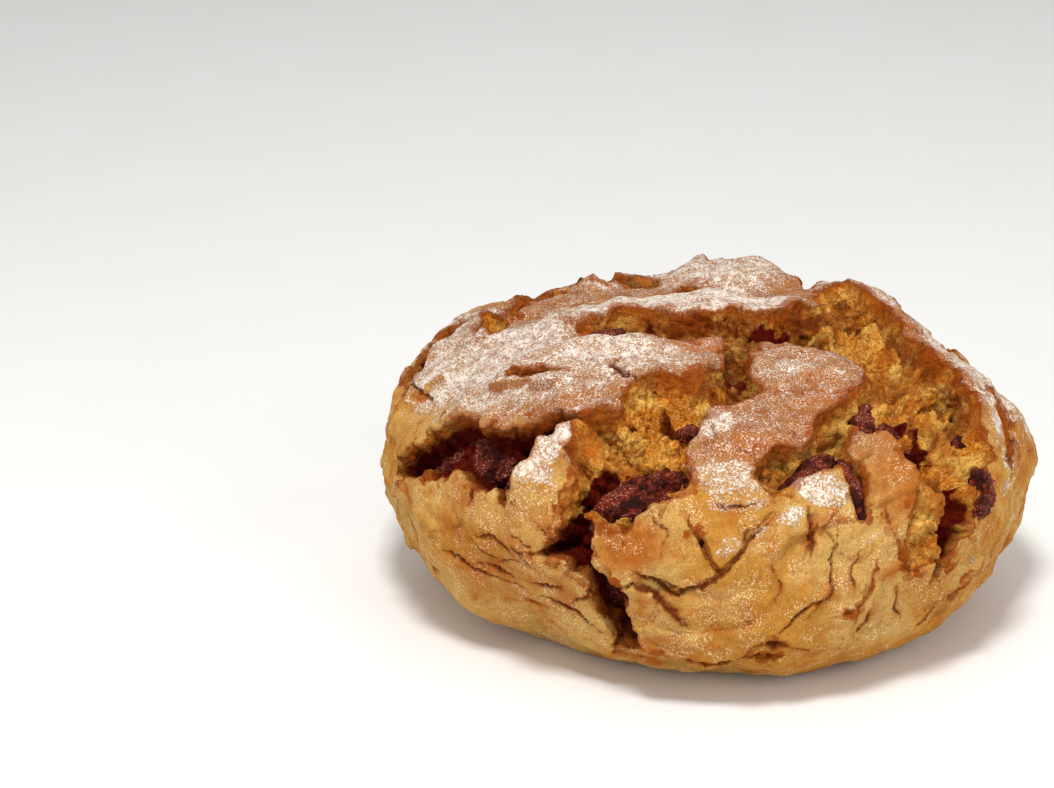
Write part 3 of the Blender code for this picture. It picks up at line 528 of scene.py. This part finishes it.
def broken_plates(points):
    """How much the broken plates lift the crust, in mm, and how far the nearest break is, in mm."""
    random = np.random.default_rng(52)
    middles = plate_middles()
    lifts = PLATE_LIFT * random.normal(size=PLATE_COUNT)
    tilts = PLATE_TILT * random.normal(size=(PLATE_COUNT, 3))
    spots = points.copy()
    for seed, (size, length) in enumerate(PLATE_WANDER):
        for axis in range(3):
            spots[:, axis] += size * MM * ripple(points, length, 60 + 3 * seed + axis)
    first, second = np.full((2, len(points)), 1e9)
    owner = np.zeros(len(points), int)
    for index, middle in enumerate(middles):
        distance = np.sqrt(((spots - middle) ** 2).sum(axis=1))
        second = np.where(distance < first, first, np.minimum(second, distance))
        owner = np.where(distance < first, index, owner)
        first = np.minimum(first, distance)
    whole = smooth(ripple(points, 45.0, 57), 0.1, 0.4)
    lift = lifts[owner] + ((spots - middles[owner]) * tilts[owner]).sum(axis=1) / MM
    lift = MOST_LIFT * np.tanh(lift / MOST_LIFT)
    gap = (second - first) / 2 / MM
    return lift * (1 - whole) * smooth(gap, -0.3, 0.3), gap + 5 * whole


def relief(uv, points):
    """The torn crust over the bare loaf: height in mm, shift across the map in mm, distance from the nearest
    tear's edge in mm, negative inside, how much painted shade darkens it, and distance from the nearest
    ledge in mm."""
    warp = np.stack([ripple(points, WARP[1], seed) for seed in (11, 12)], axis=1)
    warped = uv + WARP[0] * 0.5 * warp
    ragged = RAGGED[0] * (np.abs(ripple(points, RAGGED[1], 1)) - 0.25)
    ragged = ragged + CRUMBLE[0] * ripple(points, CRUMBLE[1], 2)
    crags = CRAGS[0] * (np.abs(ripple(points, CRAGS[1], 3)) - 0.3) + RUBBLE[0] * (
        np.abs(ripple(points, RUBBLE[1], 4)) - 0.25
    )
    height = SWELL[0] * ripple(points, SWELL[1], 5) + patches(uv, PLATES.values(), 0.55, 1.45)
    for u, v, reach, rise in RISES:
        height += rise * np.exp(-((uv[:, 0] - u) ** 2 + (uv[:, 1] - v) ** 2) / reach**2)
    height += BLISTERS[0] * (np.abs(ripple(points, BLISTERS[1], 6)) - 0.3) + broken_plates(points)[0]
    step = np.full(len(uv), 9.0)
    for lift, reach, chain in LEDGES:
        raised, distance = ledge_lift(warped + 0.2 * ragged[:, None], lift, reach, chain)
        height += raised
        step = np.minimum(step, distance)
    step += 4 * smooth(-np.hypot(uv[:, 0], uv[:, 1]), -96, -84)
    pockets = smooth(ripple(points, POCKETS[1], 7), 0.32, 0.5)
    shift = np.zeros_like(uv)
    nearest = np.full(len(uv), 1e9)
    deepest, lip, painted_shade = np.zeros((3, len(uv)))
    edges = [(name, *tear[:2], *outline_distance(warped, tear[2])) for name, tear in TORN_AREAS.items()]
    edges += [(name, *tear[:2], *chain_distance(warped, tear[2])) for name, tear in TEARS.items()]
    for name, depth, run, distance, away in edges:
        strength = min(1.0, depth / 9)
        distance = distance + (ragged - WIDENING) * strength**2
        inside = 1 - (1 - np.clip(-distance / run, 0, 1)) ** 2.5
        floor = (depth * (0.8 + 0.2 * smooth(-distance, run, 3 * run)) - crags * strength) * inside
        hole = pockets * smooth(-distance, 1, 4) * strength
        floor = floor + POCKETS[0] * hole
        deepest = np.maximum(deepest, floor)
        near = np.exp(-np.maximum(distance, 0) / LIP_REACH) * (1 - inside)
        lip = np.maximum(lip, LIP_HEIGHT * near * strength)
        rim = smooth(distance, -run, 0) * (1 - smooth(distance, 0, 6)) * min(1.0, depth / 12)
        shift -= away * (OVERHANG * rim)[:, None]
        nearest = np.minimum(nearest, distance)
        # Painted shade: the floors of the deep tears, the pockets in the crumb and the deep hollows are
        # marked to be painted dark.
        painted_shade = np.maximum(painted_shade, SHADED_TEARS.get(name, 0.0) * smooth(-distance, -0.4, 1.6))
        painted_shade = np.maximum(painted_shade, 0.4 * hole)
    painted_shade = np.maximum(painted_shade, patches(warped, SHADED_HOLLOWS, 0.5, 1.1) * smooth(-nearest, 0.5, 2.5))
    return height + lip - deepest, shift, nearest, painted_shade, step


def ball_points(mesh, levels):
    """Makes the mesh a unit sphere of even triangles, and returns its points."""
    shape = bmesh.new()
    bmesh.ops.create_icosphere(shape, subdivisions=levels, radius=1.0)
    shape.to_mesh(mesh)
    shape.free()
    return points_of(mesh)


def points_of(mesh):
    points = np.empty(len(mesh.vertices) * 3, np.float32)
    mesh.vertices.foreach_get("co", points)
    return points.reshape(-1, 3).astype(float)


def normals_of(mesh):
    normals = np.empty(len(mesh.vertices) * 3, np.float32)
    mesh.vertex_normals.foreach_get("vector", normals)
    return normals.reshape(-1, 3).astype(float)


def set_points(mesh, points):
    mesh.vertices.foreach_set("co", np.ascontiguousarray(points, np.float32).ravel())
    mesh.update()


def set_attribute(mesh, name, values):
    """Stores one number for each point of the mesh, for its material."""
    made = mesh.attributes.new(name, "FLOAT", "POINT")
    made.data.foreach_set("value", np.ascontiguousarray(values, np.float32))


def add_object(name, mesh, material):
    """A smooth-shaded object of this mesh and material."""
    mesh.materials.clear()
    mesh.materials.append(material)
    mesh.polygons.foreach_set("use_smooth", np.ones(len(mesh.polygons), bool))
    made = bpy.data.objects.new(name, mesh)
    bpy.context.scene.collection.objects.link(made)
    return made


def bare_loaf_skin():
    """The torn loaf as one folded skin, with what the relief knows at each of its points."""
    mesh = bpy.data.meshes.new("skin")
    ball = ball_points(mesh, SPHERE_LEVELS)
    walked = np.arccos(np.clip(ball[:, 2], -1, 1)) / math.pi * PROFILE_S[-1] / MM
    around = np.arctan2(ball[:, 1], ball[:, 0])
    uv = np.stack([walked * np.cos(around), walked * np.sin(around)], axis=1)
    points, _ = on_crust(uv)
    height, shift, nearest, painted_shade, step = relief(uv, points)
    points, normals = on_crust(uv + shift)
    fade = smooth(points[:, 2], 0, FLAT_UNDERSIDE)
    points = points + normals * (height * fade * MM)[:, None]
    set_points(mesh, points)
    return mesh, uv, nearest, painted_shade, step


def one_skin(mesh):
    """The outside of the folded skin, as an even mesh."""
    holder = bpy.data.objects.new("holder", mesh)
    bpy.context.scene.collection.objects.link(holder)
    skin = holder.modifiers.new("one_skin", "REMESH")
    skin.mode = "VOXEL"
    skin.voxel_size = VOXEL_SIZE
    bpy.context.view_layer.update()
    evaluated = holder.evaluated_get(bpy.context.evaluated_depsgraph_get())
    made = bpy.data.meshes.new_from_object(evaluated)
    bpy.data.objects.remove(holder)
    return made


def carried_over(old_points, new_points, values):
    """These values of the old points, at the nearest old point to each new one, blended over three."""
    tree = KDTree(len(old_points))
    for index, point in enumerate(old_points):
        tree.insert(point, index)
    tree.balance()
    found = [tree.find_n(point, 3) for point in new_points]
    index = np.array([[hit[1] for hit in hits] for hits in found])
    share = 1 / (np.array([[hit[2] for hit in hits] for hits in found]) + 0.05 * MM)
    share /= share.sum(axis=1)[:, None]
    return [(value[index] * share).sum(axis=1) for value in values]


def cracks():
    """The cracks of the front, and seeded ones of the same kind round the sides and the back."""
    random = np.random.default_rng(71)
    made = list(CRACKS)
    for _ in range(MORE_CRACKS):
        around, walked = math.radians(random.uniform(-48, 235)), random.uniform(92, 158)
        place = np.array([walked * math.cos(around), walked * math.sin(around)])
        heading, width = random.uniform(0, 2 * math.pi), random.uniform(0.4, 0.9)
        chain = [(*place, 0.2)]
        for share in (width, width, 0.2):
            place = place + random.uniform(4, 8) * np.array([math.cos(heading), math.sin(heading)])
            heading += random.uniform(-0.7, 0.7)
            chain.append((*place, share))
        made.append(chain)
    return made


def make_loaf(material):
    """The torn loaf: crust and crumb."""
    folded, uv, nearest, painted_shade, step = bare_loaf_skin()
    mesh = one_skin(folded)
    points = points_of(mesh)
    known = (uv[:, 0], uv[:, 1], nearest, painted_shade, step)
    u, v, nearest, painted_shade, step = carried_over(points_of(folded), points, known)
    uv = np.stack([u, v], axis=1)
    normals = normals_of(mesh)
    torn = smooth(-nearest, -0.4, 0.8)
    fade = smooth(points[:, 2], 0.5 * MM, 3 * MM)
    lump = COARSE_LUMPS[0] * np.abs(ripple(points, *COARSE_LUMPS[1:]))
    lump = lump + FINE_LUMPS[0] * np.abs(ripple(points, *FINE_LUMPS[1:]))
    rough = 0.5 + smooth(ripple(points, *ROUGH_STRETCHES), -0.3, 0.4)
    fine = LUMP_DEPTH * rough * torn * (lump - 0.25)
    waves = SKIN_WAVES[0] * ripple(points, *SKIN_WAVES[1:])
    waves = waves + SKIN_WRINKLES[0] * np.abs(ripple(points, *SKIN_WRINKLES[1:]))
    fine += (1 - torn) * waves
    fine += (1 - torn) * SKIN_GRAIN[0] * ripple(points, *SKIN_GRAIN[1:])
    _, gap = broken_plates(on_crust(uv)[0])
    closed = CLOSED_BREAKS[0] * smooth(ripple(points, *CLOSED_BREAKS[1:]), -0.2, 0.3)
    crack_and_ledge_shade = np.minimum(gap + 0.05 + closed, 4.0)
    # The foot of each ledge joins the cracks from here: the colour paints it dark, a painted shadow under
    # the overhanging plate.
    crack_and_ledge_shade = np.minimum(crack_and_ledge_shade, step)
    crazed = uv
    for size, length, seeds in CRACK_WANDER:
        crazed = crazed + size * np.stack([ripple(points, length, seed) for seed in seeds], axis=1)
    for chain in cracks():
        near = np.hypot(uv[:, 0] - chain[1][0], uv[:, 1] - chain[1][1]) < 40
        crack_and_ledge_shade[near] = np.minimum(crack_and_ledge_shade[near], chain_distance(crazed[near], chain)[0] + 0.25)
    fine -= CRACK_DEPTH * (1 - smooth(crack_and_ledge_shade, -0.7, 0.4)) * (1 - torn)
    points = points + normals * (fine * fade * MM)[:, None]
    low, high = (np.array(corner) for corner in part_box("loaf"))
    points = np.clip(points, low, high)
    set_points(mesh, points)
    facing_up = smooth(normals[:, 2], 0.1, 0.6)
    flour = np.maximum(patches(uv, FLOUR, 0.6, 1.3), DUSTING) * (0.35 + 0.65 * facing_up)
    set_attribute(mesh, "tear", np.clip(nearest, -6, 6))
    set_attribute(mesh, "painted_shade", painted_shade)
    set_attribute(mesh, "flour", flour)
    set_attribute(mesh, "crack_and_ledge_shade", crack_and_ledge_shade)
    set_attribute(mesh, "toast", patches(uv, TOASTED, 0.5, 1.3))
    set_attribute(mesh, "lump", lump)
    set_attribute(mesh, "walked", np.hypot(u, v))
    normals = normals_of(mesh)
    for piece, used in wedges(mesh, points):
        crust = add_object(piece.name, piece, material)
        piece.normals_split_custom_set_from_vertices(normals[used].tolist())
        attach(crust, "root")
        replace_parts(crust, "loaf")


def wedges(mesh, points):
    """The loaf's skin as wedge-shaped meshes that meet without a seam, and which points each one uses."""
    faces = np.empty(len(mesh.loops), np.int32)
    mesh.loops.foreach_get("vertex_index", faces)
    faces = faces.reshape(-1, 4)
    middle = points[faces].mean(axis=1)
    turn = np.arctan2(middle[:, 1], middle[:, 0]) / (2 * math.pi) + 0.5
    made = []
    for index, name in enumerate(WEDGES):
        own = faces[(turn * len(WEDGES)).astype(int) % len(WEDGES) == index]
        used, renumbered = np.unique(own, return_inverse=True)
        piece = bpy.data.meshes.new(name)
        piece.from_pydata(points[used], [], renumbered.reshape(-1, 4).tolist())
        for attribute in mesh.attributes:
            if attribute.data_type == "FLOAT" and attribute.domain == "POINT":
                values = np.empty(len(points), np.float32)
                attribute.data.foreach_get("value", values)
                set_attribute(piece, attribute.name, values[used])
        made.append((piece, used))
    return made


def make_piece(name, numbers, meat):
    """A wrinkled strip or slice of chorizo lying on the crumb."""
    u, v, length, width, thickness, heading, sink, droop, lean, levels = numbers
    mesh = bpy.data.meshes.new(name)
    ball = ball_points(mesh, CHORIZO_LEVELS[levels] - (0))
    shaped = np.sign(ball) * np.abs(ball) ** (0.8, 0.65, 0.6)
    x, y, z = (shaped * (length / 2, width / 2, thickness / 2)).T
    place = np.stack([x, y, z], axis=1) * MM + (u * MM, v * MM, 0)
    run = 2 * x / length
    y = y * (1 - 0.35 * run**2) + 0.12 * width * np.sin(2.6 * run + u)
    turn = math.radians(CHORIZO_TWIST) * run / 2
    y, z = y * np.cos(turn) - z * np.sin(turn), y * np.sin(turn) + z * np.cos(turn) - droop * run**2
    local = np.stack([x, y, z], axis=1)
    lumps = CHORIZO_LUMPS[0] * ripple(place, CHORIZO_LUMPS[1], 21)
    lumps += CHORIZO_WRINKLES[0] * (0.3 - np.abs(ripple(place, CHORIZO_WRINKLES[1], 22)))
    lumps += CHORIZO_CREASES[0] * (np.abs(ripple(place, CHORIZO_CREASES[1], 23)) - 0.25)
    local += ball * (lumps * min(1.0, thickness / 6))[:, None]
    tilt = Matrix.Rotation(math.radians(lean), 3, "X")
    local = local @ np.array(tilt).T
    along = np.array([math.cos(math.radians(heading)), math.sin(math.radians(heading))])
    spots = np.array([u, v]) + np.outer(np.linspace(-0.3, 0.3, 5) * length, along)
    heights = relief(spots, on_crust(spots)[0])[0]
    middle, out = on_crust(np.array([[u, v]]))
    ahead = on_crust(np.array([[u, v]]) + along)[0] - middle
    ahead = ahead[0] / np.linalg.norm(ahead)
    aside = np.cross(out[0], ahead)
    lift = heights.mean() + thickness / 2 - sink
    points = middle + MM * (np.outer(local[:, 0], ahead) + np.outer(local[:, 1], aside))
    points += MM * np.outer(local[:, 2] + lift, out[0])
    set_points(mesh, points)
    piece = add_object(name, mesh, meat)
    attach(piece, "root")
    return piece


def srgb(red, green, blue):
    """A colour given as on a screen, 0 to 255, in the shader's own numbers."""
    return (*(((c / 255 + 0.055) / 1.055) ** 2.4 if c > 10 else c / 3295 for c in (red, green, blue)), 1.0)


class Finish:
    """A material being put together: each call adds a node and returns its output."""

    def __init__(self, name):
        self.material = bpy.data.materials.new(name)
        self.material.use_nodes = True
        self.tree = self.material.node_tree
        self.shader = self.tree.nodes["Principled BSDF"]
        self.place = self.tree.nodes.new("ShaderNodeTexCoord").outputs["Object"]

    def feed(self, socket, value):
        if isinstance(value, bpy.types.NodeSocket):
            self.tree.links.new(value, socket)
        else:
            socket.default_value = value

    def attribute(self, name):
        node = self.tree.nodes.new("ShaderNodeAttribute")
        node.attribute_name = name
        return node.outputs["Fac"]

    def noise(self, length, detail=3.0, rough=0.55, twist=0.0):
        """Fractal noise of 0..1, with bumps about this many millimetres apart."""
        node = self.tree.nodes.new("ShaderNodeTexNoise")
        self.feed(node.inputs["Vector"], self.place)
        self.feed(node.inputs["Scale"], 1 / (length * MM))
        self.feed(node.inputs["Detail"], detail)
        self.feed(node.inputs["Roughness"], rough)
        self.feed(node.inputs["Distortion"], twist)
        return node.outputs["Fac"]

    def cells(self, length, feature="F1"):
        """Distance from the middle, or the edge, of cells about this many millimetres across."""
        node = self.tree.nodes.new("ShaderNodeTexVoronoi")
        node.feature = feature
        self.feed(node.inputs["Vector"], self.place)
        self.feed(node.inputs["Scale"], 1 / (length * MM))
        return node.outputs["Distance"]

    def maths(self, operation, a, b=0.0):
        node = self.tree.nodes.new("ShaderNodeMath")
        node.operation = operation
        self.feed(node.inputs[0], a)
        self.feed(node.inputs[1], b)
        return node.outputs[0]

    def step(self, value, low, high, bottom=0.0, top=1.0):
        """A soft step from bottom at low to top at high."""
        node = self.tree.nodes.new("ShaderNodeMapRange")
        node.interpolation_type = "SMOOTHSTEP"
        for socket, number in zip(node.inputs[:5], (value, low, high, bottom, top)):
            self.feed(socket, number)
        return node.outputs[0]

    def mix(self, factor, a, b):
        node = self.tree.nodes.new("ShaderNodeMix")
        node.data_type = "RGBA"
        self.feed(node.inputs[0], factor)
        self.feed(node.inputs[6], a)
        self.feed(node.inputs[7], b)
        return node.outputs[2]

    def bump(self, height, depth):
        """Relief of the surface: height is 0..1, and depth its size in millimetres."""
        node = self.tree.nodes.new("ShaderNodeBump")
        self.feed(node.inputs["Height"], height)
        self.feed(node.inputs["Distance"], depth * MM)
        self.feed(self.shader.inputs["Normal"], node.outputs["Normal"])


def bread_finish():
    """Golden crust under flour, brown along its broken edges, and yellow crumb with toasted tips, with
    painted shade in the cracks, the pits, the crumb's creases and pores and the deep tears, and painted
    highlights on the crumb's tips.
    """
    made = Finish("baked_bread")
    times, plus, minus = (partial(made.maths, name) for name in ("MULTIPLY", "ADD", "SUBTRACT"))
    jitter = minus(made.noise(1.3, 3.0, 0.6), 0.5)
    edge = plus(made.attribute("tear"), times(jitter, 1.6))
    broad = made.noise(30.0, 2.0)
    mottle = made.noise(8.0, 4.0, 0.6)
    grain = made.noise(0.55, 3.0, 0.65)
    top = made.step(made.attribute("walked"), 104, 84)

    crust = made.mix(made.step(broad, 0.4, 0.6), srgb(*CRUST_PALE), srgb(*CRUST_GOLD))
    crust = made.mix(made.step(mottle, 0.52, 0.7, 0.0, 0.8), crust, srgb(*CRUST_TOASTED))
    crust = made.mix(times(top, made.step(mottle, 0.7, 0.4, 0.45, 0.95)), crust, srgb(*CRUST_TOP))
    toasted = times(made.attribute("toast"), made.step(mottle, 0.3, 0.55, 0.4, 0.9))
    crust = made.mix(toasted, crust, srgb(*CRUST_BAKED))
    broken = times(made.step(made.attribute("crack_and_ledge_shade"), 2.6, 0.2), made.step(mottle, 0.4, 0.6))
    crust = made.mix(times(broken, 0.7), crust, srgb(*CRUST_BAKED))
    crust = made.mix(made.step(grain, 0.54, 0.4, 0.0, 0.42), crust, srgb(*CRUST_GRAIN))
    flecked = times(made.step(grain, 0.5, 0.6), made.step(made.noise(6.0, 3.0), 0.38, 0.6, 0.1, 0.75))
    flecks = times(made.step(grain, 0.55, 0.63), made.step(made.noise(9.0, 3.0), 0.48, 0.6, 0.03, 0.9))
    flecks = made.maths("MAXIMUM", flecks, times(top, flecked))
    crust = made.mix(flecks, crust, made.mix(top, srgb(*CRUST_FLECK), srgb(*FLOUR_COLOUR)))
    # Painted shade: dark dots in the middles of small cells stand for the shade in small pits.
    pit_shade = made.step(made.cells(3.4), 0.13, 0.07)
    crust = made.mix(times(pit_shade, 0.6), crust, srgb(*CRUST_PIT_SHADE))
    inner = minus(edge, made.step(made.noise(6.0, 4.0, 0.6), 0.46, 0.64, 0.0, 2.4))
    rim = times(made.step(inner, 1.0, 0.0), made.step(made.noise(5.0, 3.0), 0.38, 0.6, 0.35, 1.0))
    crust = made.mix(rim, crust, srgb(*CRUST_RIM))

    flour = made.attribute("flour")
    film = times(made.step(flour, 0.45, 0.95, 0.0, 0.5), made.step(inner, 0.3, 1.6))
    crust = made.mix(film, crust, srgb(*FLOUR_FILM))
    flakes = times(made.noise(0.7, 2.0, 0.6, 0.6), 0.56)
    flakes = plus(flakes, times(made.noise(5.0, 5.0, 0.75), 0.44))
    least = minus(0.72, times(flour, 0.32))
    powder = made.step(minus(flakes, least), -0.03, 0.05)
    powder = times(powder, made.step(inner, 0.0, 1.4, 0.2, 1.0))
    crazing = plus(made.cells(3.0, "DISTANCE_TO_EDGE"), times(made.noise(4.0, 4.0), 0.5))
    powder = times(powder, made.step(crazing, 0.2, 0.34, 0.25, 1.0))
    crust = made.mix(times(powder, 0.93), crust, srgb(*FLOUR_COLOUR))
    # Dark brown along the cracks, partly the crust's own colour and partly painted shade, and painted shadow
    # along the foot of each ledge.
    crack_and_ledge_shade = made.step(made.attribute("crack_and_ledge_shade"), 0.5, -0.3)
    crust = made.mix(times(crack_and_ledge_shade, 0.95), crust, srgb(*CRACK_AND_LEDGE_SHADE))

    lump = made.attribute("lump")
    speck = made.noise(0.9, 3.0, 0.7)
    crumb = made.mix(made.step(made.noise(11.0, 3.0), 0.4, 0.6), srgb(*CRUMB_DEEP), srgb(*CRUMB_PALE))
    # Painted shade in the creases between the crumb's lumps.
    crumb = made.mix(made.step(lump, 0.2, 0.04, 0.0, 0.75), crumb, srgb(*CRUMB_CREASE_SHADE))
    # Painted shade in the crumb's pores and painted highlights on the tips between them.
    crumb = made.mix(made.step(speck, 0.47, 0.34, 0.0, 0.85), crumb, srgb(*CRUMB_PORE_SHADE))
    crumb = made.mix(made.step(speck, 0.53, 0.66, 0.0, 0.7), crumb, srgb(*CRUMB_TIP_HIGHLIGHT))
    toast = made.step(made.noise(14.0, 4.0, 0.6), 0.48, 0.6)
    crumb = made.mix(times(toast, 0.7), crumb, srgb(*CRUMB_TOASTED))
    scorched = made.step(made.noise(6.0, 4.0, 0.6), 0.38, 0.6, 0.3, 1.0)
    crumb = made.mix(times(made.attribute("toast"), scorched), crumb, srgb(*CRUMB_SCORCHED))
    crumb = made.mix(made.step(edge, -2.6, 0.0, 0.0, 0.85), crumb, srgb(*CRUMB_RIM))
    # Painted shade: dark maroon on the floors of the deep tears, in the pockets and in the hollows.
    painted_shade = made.attribute("painted_shade")
    crumb = made.mix(made.step(painted_shade, 0.1, 0.7), crumb, srgb(*MAROON_SHADE))

    torn = made.step(edge, 0.3, -0.3)
    shade = made.step(made.noise(3.2, 4.0, 0.65), 0.3, 0.6, 0.3, 0.0)
    bread = made.mix(shade, made.mix(torn, crust, crumb), srgb(*BREAD_SHADE))
    made.feed(made.shader.inputs["Base Color"], bread)
    made.feed(made.shader.inputs["Roughness"], made.step(made.noise(2.0), 0.3, 0.7, 0.7, 0.95))
    made.feed(made.shader.inputs["Specular IOR Level"], 0.06)
    sandy = plus(times(grain, 0.14), times(powder, 0.14))
    spongy = plus(times(made.noise(1.7, 4.0, 0.75), 1.3), times(speck, 0.6))
    raised = plus(sandy, times(torn, spongy))
    made.bump(minus(raised, times(crack_and_ledge_shade, 0.4)), 1.1)
    return made.material


def chorizo_finish():
    """Oily, wrinkled sausage, near black where it is driest, with light specks in its creases, partly grains
    of flour and partly painted glints.
    """
    made = Finish("cured_chorizo")
    patch = made.noise(5.0, 4.0, 0.6)
    colour = made.mix(made.step(patch, 0.38, 0.62), srgb(*MEAT_DARK), srgb(*MEAT_RED))
    colour = made.mix(made.step(made.noise(1.8, 3.0), 0.54, 0.7, 0.0, 0.7), colour, srgb(*MEAT_FAT))
    # Light specks, partly grains of flour and partly painted glints on the oily skin.
    flour_and_glints = made.step(made.noise(0.45, 2.0), 0.58, 0.66, 0.0, 0.8)
    flour_and_glints = made.maths("MULTIPLY", flour_and_glints, made.step(made.noise(5.0), 0.44, 0.6))
    colour = made.mix(flour_and_glints, colour, srgb(*MEAT_FLOUR_AND_GLINT))
    made.feed(made.shader.inputs["Base Color"], colour)
    made.feed(made.shader.inputs["Roughness"], made.step(made.noise(1.2, 3.0), 0.3, 0.7, 0.25, 0.6))
    made.feed(made.shader.inputs["Specular IOR Level"], 0.12)
    made.bump(made.noise(0.9, 4.0, 0.7), 0.6)
    return made.material


def make_floor():
    """The plain pale floor."""
    mesh = bpy.data.meshes.new("floor")
    shape = bmesh.new()
    bmesh.ops.create_grid(shape, x_segments=1, y_segments=1, size=FLOOR_SIZE / 2)
    shape.to_mesh(mesh)
    shape.free()
    made = Finish("pale_floor")
    tone = made.mix(made.noise(60.0, 2.0), *(srgb(*tone) for tone in FLOOR_TONES))
    made.feed(made.shader.inputs["Base Color"], tone)
    made.feed(made.shader.inputs["Roughness"], 0.9)
    floor = add_object("floor", mesh, made.material)
    floor.location.z = -FLOOR_GAP


def add_light(name, place, size, power, aim):
    """A soft square lamp that faces the aim."""
    data = bpy.data.lights.new(name, "AREA")
    data.size = size
    data.energy = power
    lamp = bpy.data.objects.new(name, data)
    lamp.location = place
    lamp.rotation_mode = "QUATERNION"
    lamp.rotation_quaternion = (Vector(place) - Vector(aim)).to_track_quat("Z", "Y")
    bpy.context.scene.collection.objects.link(lamp)


def make_studio():
    """Soft light from above and in front, a bright surround, and the camera at the loaf's best side."""
    aim = (0, 0, 0.05)
    for name, (place, size, power) in LIGHTS.items():
        add_light(name, place, size, power, aim)
    world = bpy.data.worlds.new("surround")
    world.use_nodes = True
    world.node_tree.nodes["Background"].inputs["Color"].default_value = (1, 1, 1, 1)
    world.node_tree.nodes["Background"].inputs["Strength"].default_value = SURROUND
    bpy.context.scene.world = world
    bpy.context.scene.view_settings.view_transform = "Standard"
    data = bpy.data.cameras.new("camera")
    data.lens = LENS
    data.clip_start = 0.01
    camera = bpy.data.objects.new("camera", data)
    tilt = math.radians(CAMERA_ELEVATION)
    camera.location = Vector(CAMERA_TARGET) + CAMERA_DISTANCE * Vector((0, -math.cos(tilt), math.sin(tilt)))
    camera.rotation_euler = (math.pi / 2 - tilt, 0, 0)
    bpy.context.scene.collection.objects.link(camera)
    bpy.context.scene.camera = camera


make_loaf(bread_finish())
meat = chorizo_finish()
for name, numbers in CHORIZO.items():
    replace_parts(make_piece("sausage_" + name, numbers, meat), "chorizo_" + name)
for name, numbers in CHORIZO_BITS.items():
    make_piece("sausage_" + name, numbers, meat)
make_floor()
make_studio()

bpy.context.view_layer.update()
